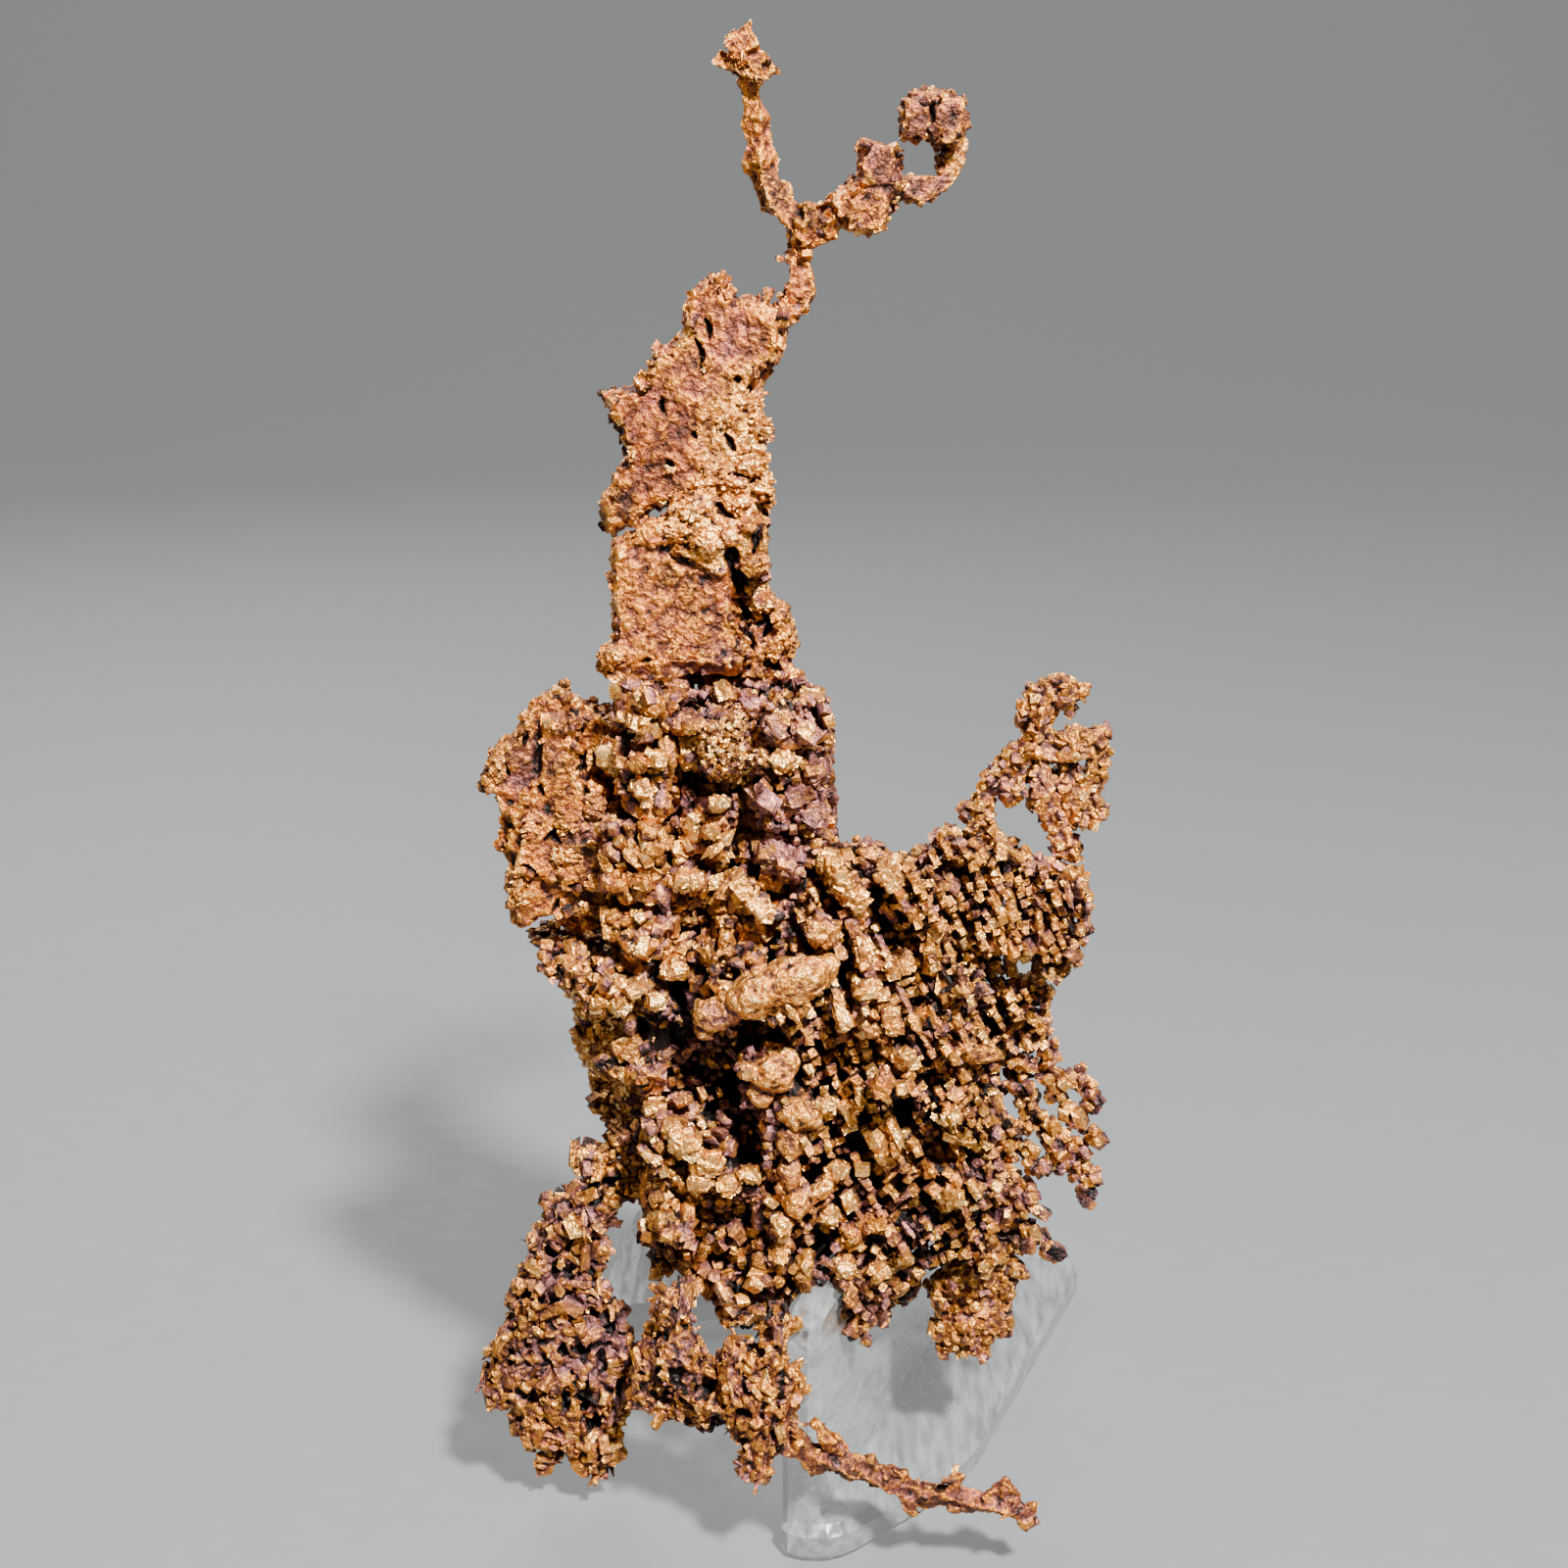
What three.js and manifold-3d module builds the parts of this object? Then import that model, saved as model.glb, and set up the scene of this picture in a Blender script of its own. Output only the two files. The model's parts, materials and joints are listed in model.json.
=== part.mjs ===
// A branching native copper on a clear acrylic stand. Millimetres, +Z up.
//
// The copper's outlines are drawn on a front sheet, u to the right and v down in sheet
// steps, from a station in front of and above the piece. at() carries a sheet point
// along its sight line to a depth y, so every outline keeps its place at any depth.

import * as THREE from 'three';
import { mergeVertices } from 'three/addons/utils/BufferGeometryUtils.js';
import Module from 'manifold-3d';

const wasm = await Module();
wasm.setup();

// Station of the front sheet
const SHEET_MID = 800;
const SHEET_REACH = 2000;
const STATION_BACK = 138;
const STATION_UP = 95;
const STATION_TILT = THREE.MathUtils.degToRad(15);

// Seat of the frame origin on the stand's underside
const SEAT_X = 2.0;
const SEAT_Y = 33.0;

// Grid that corners are snapped to
const WELD = 0.001;

// Gaps
const FORK_GAP = 0.3;
const REST_GAP = 0.3;

// Stand
const SHEET_THICK = 3.0;
const UPRIGHT_TOP = 20.5;
const EDGE_ROUND = 0.7;

// ---------------------------------------------------------------- small tools

/** Seeded number stream from 0 to 1. */
function stream(seed) {
  let state = (seed * 2654435761) >>> 0;
  return () => {
    state = (Math.imul(state, 1664525) + 1013904223) >>> 0;
    return state / 4294967296;
  };
}

/** Space point of sheet point (u, v) at depth y. */
function at(u, v, y = 0) {
  const du = u - SHEET_MID;
  const dv = v - SHEET_MID;
  const sin = Math.sin(STATION_TILT);
  const cos = Math.cos(STATION_TILT);
  const t = (STATION_BACK + y) / (SHEET_REACH * cos - dv * sin);
  return new THREE.Vector3(du * t, y, STATION_UP - (SHEET_REACH * sin + dv * cos) * t);
}

/** Corners and faces of a three.js geometry, with shared corners merged. */
function shellOf(geometry) {
  const bare = geometry.index ? geometry.toNonIndexed() : geometry;
  bare.deleteAttribute('normal');
  bare.deleteAttribute('uv');
  const merged = mergeVertices(bare, 1e-4);
  const places = merged.attributes.position;
  const corners = [];
  for (let i = 0; i < places.count; i += 1) {
    corners.push(new THREE.Vector3().fromBufferAttribute(places, i));
  }
  return { corners, faces: Array.from(merged.index.array) };
}

/** Solid of a shell, with every corner carried by a function. */
function solidOf(shell, carry) {
  const vertProperties = new Float32Array(shell.corners.length * 3);
  shell.corners.forEach((corner, i) => {
    const p = carry(corner);
    vertProperties.set([p.x, p.y, p.z], i * 3);
  });
  const triVerts = new Uint32Array(shell.faces);
  return new wasm.Manifold(new wasm.Mesh({ numProp: 3, vertProperties, triVerts }));
}

/** Join of many solids. */
function join(solids) {
  let pool = solids;
  while (pool.length > 1) {
    const next = [];
    for (let i = 0; i < pool.length; i += 2) {
      next.push(i + 1 < pool.length ? pool[i].add(pool[i + 1]) : pool[i]);
    }
    pool = next;
  }
  return pool[0];
}

/** Unit steps inward from the corners of an outline that runs anticlockwise. */
function inwardSteps(outline) {
  const n = outline.length;
  return outline.map((here, i) => {
    const before = here.clone().sub(outline[(i + n - 1) % n]).normalize();
    const after = outline[(i + 1) % n].clone().sub(here).normalize();
    const step = new THREE.Vector2(-before.y - after.y, before.x + after.x);
    return step.multiplyScalar(1 / Math.max(step.length(), 0.6) ** 2).multiplyScalar(2);
  });
}

/** Slab of a flat outline drawn in rings [inward, depth]; carry places (a, b, depth). */
function slab(corners, rings, carry) {
  const outline = corners.map(([a, b]) => new THREE.Vector2(a, b));
  if (THREE.ShapeUtils.isClockWise(outline)) {
    outline.reverse();
  }
  const inward = inwardSteps(outline);
  const last = rings.length - 1;
  const geometry = new THREE.ExtrudeGeometry(new THREE.Shape(outline), {
    depth: last,
    steps: last,
    bevelEnabled: false,
  });
  return solidOf(shellOf(geometry), (corner) => {
    const flat = new THREE.Vector2(corner.x, corner.y);
    const index = outline.findIndex((p) => p.distanceTo(flat) < 1e-4);
    const [distance, depth] = rings[Math.round(corner.z)];
    flat.addScaledVector(inward[index], distance);
    return carry(new THREE.Vector3(flat.x, flat.y, depth));
  });
}

/** Ragged plate of copper standing across the sheet, thinner at its rim. */
function plate(outline, y, thick, rim = 0.6, lean = 0) {
  const flat = outline.map(([u, v]) => {
    const p = at(u, v, y);
    return [p.x, p.z];
  });
  const middle = flat.reduce((sum, [x]) => sum + x, 0) / flat.length;
  const half = thick / 2;
  const rings = [[rim, -half], [0, 0], [rim, half]];
  return slab(flat, rings, (p) => new THREE.Vector3(p.x, y - p.z + lean * (p.x - middle), p.y));
}

/** Rings of a clear sheet with softened edges. */
function softEdges(thick) {
  const [r, half] = [EDGE_ROUND, thick / 2];
  return [[r, -half], [0, r - half], [0, half - r], [r, half]];
}

/** Outline shrunk toward a sheet point. */
function shrunk(outline, [cu, cv], share) {
  return outline.map(([u, v]) => [cu + (u - cu) * share, cv + (v - cv) * share]);
}

const CUBE = shellOf(new THREE.BoxGeometry(2, 2, 2));
const OCTAHEDRON = shellOf(new THREE.OctahedronGeometry(1.45));

/** One crystal of a habit, grown along a direction; size is its half widths. */
function crystal(habit, centre, size, along, random, uneven = 0.16) {
  const up = new THREE.Vector3(0, 0, 1);
  const turn = new THREE.Quaternion().setFromUnitVectors(up, along.clone().normalize());
  turn.multiply(new THREE.Quaternion().setFromAxisAngle(up, random() * Math.PI));
  const vary = () => 1 + uneven * (2 * random() - 1);
  return solidOf(habit, (corner) => (
    new THREE.Vector3(corner.x * vary(), corner.y * vary(), corner.z * vary())
      .multiply(size).applyQuaternion(turn).add(centre)
  ));
}

/** Beaded twig of grown-together crystals along sheet points [u, v, y, half width in mm]. */
function twig(path, seed, { sides = 4, pitch = 2.2, bead = 0.2 } = {}) {
  const random = stream(seed);
  const curve = new THREE.CatmullRomCurve3(path.map(([u, v, y]) => at(u, v, y)));
  const widths = path.map(([, , , r]) => r);
  const middle = widths.reduce((sum, r) => sum + r, 0) / widths.length;
  const rings = Math.max(2, Math.round(curve.getLength() / (pitch * middle)));
  const shell = shellOf(new THREE.CylinderGeometry(1, 1, 1, sides, rings));
  return solidOf(shell, (corner) => {
    const ring = Math.round((corner.y + 0.5) * rings);
    const t = ring / rings;
    const span = Math.min(t * (widths.length - 1), widths.length - 1.001);
    const k = Math.floor(span);
    const width = THREE.MathUtils.lerp(widths[k], widths[k + 1], span - k);
    const along = curve.getTangent(t);
    const side = new THREE.Vector3(0, 1, 0).cross(along).normalize();
    const front = along.clone().cross(side).normalize();
    const centre = curve.getPoint(t);
    if (Math.hypot(corner.x, corner.z) < 0.5) {
      return centre.addScaledVector(along, (ring === 0 ? -0.5 : 0.5) * width);
    }
    const swell = 1 + bead * (ring % 2 ? 1 : -1) + 0.3 * (random() - 0.5);
    const angle = Math.atan2(corner.x, corner.z) + 0.5 + 0.22 * ring;
    centre.addScaledVector(side, width * swell * 1.15 * Math.cos(angle));
    centre.addScaledVector(front, width * swell * 1.15 * Math.sin(angle));
    return centre.addScaledVector(along, 0.3 * width * (random() - 0.5));
  });
}

/** Lumps at sheet points [u, v, y, half x, half y, half z, tilt], half widths in mm. */
function lumps(list, seed, habit = CUBE) {
  const random = stream(seed);
  return list.map(([u, v, y, rx, ry, rz, tilt = 0]) => {
    const turn = new THREE.Quaternion().setFromAxisAngle(new THREE.Vector3(0, 1, 0), tilt);
    const vary = () => 1 + 0.24 * (2 * random() - 1);
    return solidOf(habit, (corner) => (
      new THREE.Vector3(corner.x * vary() * rx, corner.y * vary() * ry, corner.z * vary() * rz)
        .applyQuaternion(turn).add(at(u, v, y))
    ));
  });
}

/** True when the sheet point lies inside the outline. */
function inside(u, v, outline) {
  let hit = false;
  outline.forEach(([a, b], i) => {
    const [c, d] = outline[(i + 1) % outline.length];
    if ((b > v) !== (d > v) && u < ((c - a) * (v - b)) / (d - b) + a) {
      hit = !hit;
    }
  });
  return hit;
}

/** Calls place(u, v, count) over a slanted net of sheet points inside an outline. */
function overNet(outline, step, slant, place) {
  let count = 0;
  const reach = 60;
  for (let i = -reach; i <= reach; i += 1) {
    for (let j = -reach; j <= reach; j += 1) {
      const a = (i + (j % 2) * 0.5) * step;
      const b = j * step * 0.9;
      const u = SHEET_MID + a * Math.cos(slant) - b * Math.sin(slant);
      const v = SHEET_MID + a * Math.sin(slant) + b * Math.cos(slant);
      if (inside(u, v, outline)) {
        place(u, v, count);
        count += 1;
      }
    }
  }
}

/** Block of space on one side of a plane at a point, as wide as reach each way. */
function blockBeyond(point, normal, reach, start) {
  const turn = new THREE.Quaternion().setFromUnitVectors(new THREE.Vector3(0, 0, 1), normal);
  return solidOf(CUBE, ({ x, y, z }) => (
    new THREE.Vector3(x * reach, y * reach, start + (z + 1) * 1.1 * reach)
      .applyQuaternion(turn).add(point)
  ));
}

/** Parts a stem from its branch by a plane gap at a sheet point [u, v, y]. */
function fork(stem, branch, [u, v, y], [du, dv], reach) {
  const point = at(u, v, y);
  const normal = at(u + du, v + dv, y).sub(point).normalize();
  const back = normal.clone().negate();
  return [
    stem.subtract(blockBeyond(point, normal, reach, -FORK_GAP / 2)),
    branch.subtract(blockBeyond(point, back, reach, -FORK_GAP / 2)),
  ];
}

/** Places snapped to a fine grid, with the faces that close up left out. */
function welded(faces, places) {
  const firsts = new Map();
  const index = [];
  const kept = [];
  places.forEach((place) => {
    const p = place.divideScalar(WELD).round().multiplyScalar(WELD);
    const key = `${p.x.toFixed(4)},${p.y.toFixed(4)},${p.z.toFixed(4)}`;
    if (!firsts.has(key)) {
      firsts.set(key, kept.length);
      kept.push(p);
    }
    index.push(firsts.get(key));
  });
  const open = new Map();
  faces.forEach((face) => {
    const [a, b, c] = face.map((i) => index[i]);
    if (a === b || b === c || c === a) {
      return;
    }
    const key = [a, b, c].sort((p, q) => p - q).join();
    if (open.has(key)) {
      open.delete(key);
    } else {
      open.set(key, [a, b, c]);
    }
  });
  return [[...open.values()], kept];
}

/** Signed volume inside a set of triangles. */
function volumeOf(faces, places) {
  return faces.reduce((sum, face) => {
    const [a, b, c] = face.map((i) => places[i]);
    return sum + a.dot(b.clone().cross(c)) / 6;
  }, 0);
}

/** Faces of the one outer body: inner hollows are filled and loose chips left out. */
function outerFaces(faces, places) {
  const owner = places.map((_, i) => i);
  const root = (i) => {
    let k = i;
    while (owner[k] !== k) {
      owner[k] = owner[owner[k]];
      k = owner[k];
    }
    return k;
  };
  faces.forEach(([a, b, c]) => {
    owner[root(a)] = root(b);
    owner[root(b)] = root(c);
  });
  const bodies = new Map();
  faces.forEach((face) => {
    const key = root(face[0]);
    bodies.set(key, [...(bodies.get(key) ?? []), face]);
  });
  const sized = [...bodies.values()].map((body) => ({ body, size: volumeOf(body, places) }));
  sized.sort((p, q) => q.size - p.size);
  return sized[0].body;
}

/** Named mesh from a solid, moved to the frame origin. */
function meshOf(solid, name, material) {
  const { vertProperties, triVerts, numProp } = solid.getMesh();
  const places = [];
  for (let i = 0; i < vertProperties.length; i += numProp) {
    const [x, y, z] = vertProperties.subarray(i, i + 3);
    places.push(new THREE.Vector3(x - SEAT_X, y - SEAT_Y, z));
  }
  const faces = [];
  for (let i = 0; i < triVerts.length; i += 3) {
    faces.push(Array.from(triVerts.subarray(i, i + 3)));
  }
  const [skin, points] = welded(outerFaces(faces, places), places);
  const geometry = new THREE.BufferGeometry().setFromPoints(points);
  geometry.setIndex(skin.flat());
  const mesh = new THREE.Mesh(geometry, material);
  mesh.name = name;
  return mesh;
}

/** New copper finish. */
function copper(color) {
  return new THREE.MeshStandardMaterial({ color, metalness: 0.8, roughness: 0.55 });
}

// ---------------------------------------------------------------- spire

function buildSpire() {
  const blade = [
    [738, 277], [747, 292], [752, 304], [764, 300], [773, 304], [782, 294], [800, 296],
    [815, 316], [808, 330], [798, 338], [799, 352], [795, 368], [780, 381], [768, 396],
    [766, 410], [779, 414], [784, 430], [777, 446], [783, 462], [784, 480], [788, 498],
    [777, 512], [780, 526], [770, 548], [740, 560], [700, 548], [684, 516], [664, 521],
    [649, 536], [637, 539], [626, 548], [616, 541], [611, 510], [623, 498], [625, 485],
    [637, 470], [636, 455], [622, 420], [611, 399], [628, 395], [645, 391], [660, 374],
    [670, 354], [684, 350], [696, 336], [700, 303], [718, 285],
  ];
  const slab = [
    [626, 551], [645, 541], [660, 537], [674, 530], [690, 511], [706, 502], [728, 512],
    [750, 540], [752, 575], [745, 600], [757, 630], [765, 655], [766, 676], [740, 680],
    [700, 678], [662, 672], [646, 680], [632, 688], [611, 681], [610, 668], [622, 655],
    [626, 640], [624, 600], [623, 565],
  ];
  const recess = [
    [730, 520], [764, 530], [772, 560], [768, 590], [790, 615], [798, 650], [800, 690],
    [806, 716], [760, 716], [660, 705], [650, 690], [664, 660], [700, 560],
  ];
  const solids = [
    plate(blade, -0.3, 2.6, 0.55, -0.03),
    plate(slab, -1.9, 3.0, 0.5),
    plate(recess, 1.6, 3.4, 0.6),
    ...lumps([
      [706, 522, -2.9, 1.6, 1.0, 1.3], [722, 556, -3.0, 1.9, 1.1, 1.4, 0.4],
      [748, 552, -2.2, 1.9, 1.6, 1.5], [742, 590, -1.2, 1.5, 1.6, 1.3],
      [672, 541, -2.8, 1.6, 0.9, 0.8],
    ], 11),
    twig([[764, 312, 0, 0.8], [800, 326, 0.2, 0.9], [784, 362, 0, 1.0], [762, 394, 0, 0.9],
      [767, 425, -0.2, 1.1], [766, 462, 0, 1.1], [770, 496, 0, 1.2], [763, 535, 0.3, 1.2]], 12),
    twig([[762, 545, 0, 1.2], [766, 575, -0.2, 1.3], [768, 598, 0.2, 1.2], [784, 618, 0.2, 1.2],
      [790, 650, 0, 1.3], [792, 682, 0, 1.3], [798, 712, 0.2, 1.3]], 13),
    twig([[618, 676, -2.2, 0.9], [642, 684, -2.6, 0.8], [690, 676, -3.0, 0.8],
      [752, 672, -2.8, 0.9]], 14),
    twig([[752, 630, -0.2, 1.0], [765, 665, -0.6, 1.1], [772, 700, -0.4, 1.2]], 15),
  ];
  return join(solids);
}

// ---------------------------------------------------------------- horn and hook

function buildHorn() {
  return join([
    twig([[803, 326, 0.1, 1.0], [812, 308, 0, 0.9], [822, 285, -0.2, 0.95],
      [814, 262, -0.3, 0.85], [818, 240, -0.4, 1.2], [822, 226, -0.4, 1.25]], 21),
    twig([[838, 226, -0.4, 1.2], [818, 226, -0.4, 1.3], [799, 212, -0.3, 1.1],
      [783, 192, -0.1, 1.0], [776, 168, 0, 0.95], [774, 140, 0.2, 0.9], [768, 114, 0.3, 0.8],
      [765, 92, 0.3, 0.75],
      [762, 66, 0.2, 0.8], [758, 42, 0.1, 0.6]], 22, { pitch: 1.4 }),
    ...lumps([[762, 64, 0.2, 1.15, 1.0, 0.9, 0.3], [757, 44, 0.1, 0.85, 0.9, 0.8, -0.4],
      [742, 62, 0.1, 0.75, 0.7, 0.55, 0.3], [780, 72, 0.3, 0.65, 0.7, 0.5, -0.5]], 23),
    twig([[842, 214, -0.4, 0.7], [846, 238, -0.4, 0.7], [828, 246, -0.3, 0.8]], 24),
  ]);
}

function buildHook() {
  const lobe = [
    [846, 200], [866, 186], [880, 178], [882, 160], [896, 148], [914, 153], [924, 160],
    [918, 174], [930, 190], [915, 208], [903, 226], [896, 238], [880, 241], [866, 233],
    [852, 234], [842, 226],
  ];
  const crown = [
    [916, 138], [919, 112], [925, 98], [948, 87], [972, 94], [982, 102], [988, 125],
    [984, 140], [970, 150], [955, 152], [944, 140], [937, 148],
  ];
  return join([
    plate(lobe, -0.3, 3.2, 0.7),
    plate(crown, 0.4, 3.6, 0.7),
    twig([[836, 226, -0.4, 1.0], [862, 208, -0.3, 1.0]], 31),
    twig([[914, 190, -0.3, 0.9], [935, 194, 0, 0.9], [957, 192, 0.2, 0.8],
      [970, 178, 0.3, 0.8], [972, 158, 0.4, 0.75], [976, 138, 0.4, 0.9]], 32),
    ...lumps([[895, 168, -1.4, 1.1, 0.7, 1.2], [886, 222, -1.3, 1.2, 0.8, 0.9],
      [938, 120, -1.2, 1.0, 0.8, 1.2], [966, 122, -0.9, 0.9, 0.9, 1.4],
      [952, 116, 1.7, 1.3, 1.0, 1.2], [884, 202, 1.1, 1.2, 0.9, 1.2]], 33),
  ]);
}

// ---------------------------------------------------------------- left plates

function buildWing() {
  const upper = [
    [576, 692], [584, 700], [584, 760], [590, 815], [560, 830], [522, 818], [512, 812],
    [497, 809], [491, 797], [499, 766], [511, 753], [525, 749], [531, 733], [542, 716],
    [560, 702],
  ];
  const lower = [
    [545, 790], [600, 790], [614, 800], [626, 812], [628, 850], [634, 880], [626, 915],
    [600, 930], [578, 932], [560, 934], [549, 936], [537, 947], [525, 940], [519, 904],
    [526, 895], [549, 889], [545, 879], [526, 884], [519, 868], [512, 851], [522, 840],
    [516, 827], [526, 815],
  ];
  const rear = [
    [584, 724], [606, 731], [626, 728], [648, 760], [648, 840], [640, 900], [580, 900],
    [572, 800],
  ];
  return join([
    plate(upper, -1.9, 2.0, 0.45, 0.02),
    plate(lower, -2.6, 2.2, 0.45, -0.03),
    plate(rear, 0.8, 2.6, 0.5),
    ...lumps([[610, 826, -2.4, 1.3, 1.0, 1.6, 0.1], [570, 775, -2.6, 1.4, 1.1, 3.2, 0.1],
      [560, 860, -3.2, 2.0, 0.9, 2.6, 0.3], [605, 880, -3.0, 2.2, 1.4, 1.6],
      [604, 742, -0.4, 1.2, 1.2, 1.2], [536, 905, -2.9, 1.1, 0.8, 1.4],
      [590, 770, 0.2, 1.4, 1.6, 4.0], [575, 850, -0.8, 1.7, 1.8, 4.2],
      [604, 800, 1.6, 1.6, 1.2, 3.6]], 41),
    twig([[505, 775, -1.6, 0.7], [520, 824, -2.2, 0.7], [522, 858, -2.4, 0.9],
      [528, 878, -2.6, 0.8]], 42),
    twig([[560, 760, -0.6, 0.8], [540, 800, -0.8, 0.8], [552, 870, -1.4, 0.9],
      [540, 915, -1.8, 0.8]], 43, { pitch: 2.2 }),
  ]);
}

// ---------------------------------------------------------------- crystal body

const NECK = [
  [660, 690], [700, 684], [760, 684], [816, 690], [822, 716], [836, 736], [848, 750],
  [847, 800], [849, 822], [843, 846], [848, 868], [820, 920], [640, 940], [622, 900],
  [626, 820], [636, 800], [604, 755], [606, 740], [625, 728], [652, 726], [645, 712],
];

const FAN = [
  [640, 900], [700, 850], [830, 862], [846, 852], [853, 868], [866, 872], [880, 858],
  [894, 864], [906, 868], [922, 879], [941, 876], [953, 866], [958, 850], [972, 847],
  [986, 852], [1018, 854], [1042, 864], [1060, 882], [1086, 887], [1104, 890], [1112, 914],
  [1104, 932], [1100, 952], [1097, 966], [1078, 978], [1045, 974], [1026, 984], [1004, 980],
  [1002, 1000], [1030, 1002], [1050, 1002], [1072, 1014], [1066, 1032], [1072, 1048],
  [1062, 1064], [1030, 1070], [1012, 1084], [984, 1084], [980, 1100], [1004, 1104],
  [1006, 1126], [1030, 1146], [1012, 1160], [1024, 1180], [1030, 1198], [1052, 1210],
  [1058, 1234], [1034, 1226], [1024, 1246], [1048, 1254], [1040, 1276], [1010, 1290],
  [962, 1290], [944, 1310], [930, 1322], [912, 1322], [903, 1350], [885, 1342], [868, 1361],
  [850, 1354], [830, 1345], [803, 1352], [786, 1328], [770, 1326], [760, 1336], [738, 1334],
  [722, 1312], [706, 1298], [690, 1290], [672, 1272], [660, 1256], [642, 1240], [642, 1210],
  [656, 1180], [660, 1140], [648, 1122], [636, 1130], [629, 1116], [630, 1098], [612, 1090],
  [598, 1080], [592, 1058], [592, 1034], [596, 1020], [590, 1000], [598, 985], [578, 998],
  [574, 986], [560, 984], [556, 966], [542, 954], [556, 944], [584, 940], [600, 925],
];

const TERRACE = [
  [650, 905], [700, 862], [830, 870], [880, 878], [950, 886], [1010, 872], [1060, 900],
  [1080, 935], [1060, 960], [1000, 966], [984, 1010], [1030, 1030], [1012, 1060], [966, 1078],
  [960, 1110], [990, 1130], [986, 1180], [1010, 1215], [1000, 1252], [940, 1282], [900, 1318],
  [860, 1338], [812, 1334], [782, 1308], [740, 1310], [710, 1280], [680, 1252], [664, 1215],
  [676, 1150], [655, 1100], [615, 1070], [606, 1020], [602, 972], [578, 960], [600, 936],
];

const HEART = [
  [690, 930], [740, 900], [830, 906], [890, 930], [938, 962], [950, 1020], [930, 1090],
  [945, 1160], [930, 1230], [890, 1280], [830, 1305], [770, 1282], [720, 1250], [696, 1190],
  [690, 1120], [656, 1050], [650, 980],
];

const FAN_MIDDLE = [800, 1120];

/** Half thickness of the body at a sheet point. */
function halfThick(u, v) {
  const du = (u - FAN_MIDDLE[0]) / 330;
  const dv = (v - FAN_MIDDLE[1]) / 300;
  return Math.max(1.3, 6.6 * (1 - 0.85 * du * du - 0.45 * dv * dv));
}

/** Direction of growth at a sheet point, as it spreads from the body's heart. */
function growth(u, v) {
  const bend = 0.9 + 0.25 * Math.sin(v / 70);
  const angle = Math.atan2(v - 1150, u - 770) * 0.35 + bend;
  return at(u + 10 * Math.cos(angle), v + 10 * Math.sin(angle), 0).sub(at(u, v, 0));
}

function bodyCrystals() {
  const random = stream(51);
  const solids = [];
  const upright = new THREE.Vector3(0, 0, 1);
  overNet(shrunk(FAN, FAN_MIDDLE, 0.96), 70, 0.35, (u, v) => {
    const smooth = u < 870 && u > 700 && v > 960 && v < 1320;
    const r = (inside(u, v, TERRACE) ? 1.75 : 1.05) * (0.8 + 0.35 * random());
    const depth = halfThick(u, v) * (0.93 + 0.2 * random());
    const along = growth(u, v);
    along.y += 2 * (random() - 0.5);
    const size = new THREE.Vector3(r, r, r * (1.1 + 0.9 * random()));
    const habit = random() < 0.7 ? CUBE : OCTAHEDRON;
    if (!smooth) {
      solids.push(crystal(habit, at(u, v, 0.2 - depth), size, along, random));
    }
  });
  overNet(shrunk(FAN, FAN_MIDDLE, 0.92), 124, 0.2, (u, v) => {
    const r = (inside(u, v, TERRACE) ? 2.2 : 1.0) * (0.85 + 0.4 * random());
    const size = new THREE.Vector3(r, r, r * (1.1 + 0.8 * random()));
    const centre = at(u, v, 0.1 + halfThick(u, v) * (0.62 + 0.2 * random()));
    solids.push(crystal(CUBE, centre, size, growth(u, v), random));
  });
  overNet(shrunk(NECK, [740, 800], 0.9), 80, 0.6, (u, v) => {
    const r = 1.9 * (0.8 + 0.4 * random());
    const size = new THREE.Vector3(r, r, r * 1.3);
    solids.push(crystal(CUBE, at(u, v, -3.4 - 0.8 * random()), size, upright, random));
    if (random() < 0.4) {
      solids.push(crystal(CUBE, at(u, v, 3.8 + 0.5 * random()), size.clone().multiplyScalar(1.2),
        upright, random));
    }
  });
  return solids;
}

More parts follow.
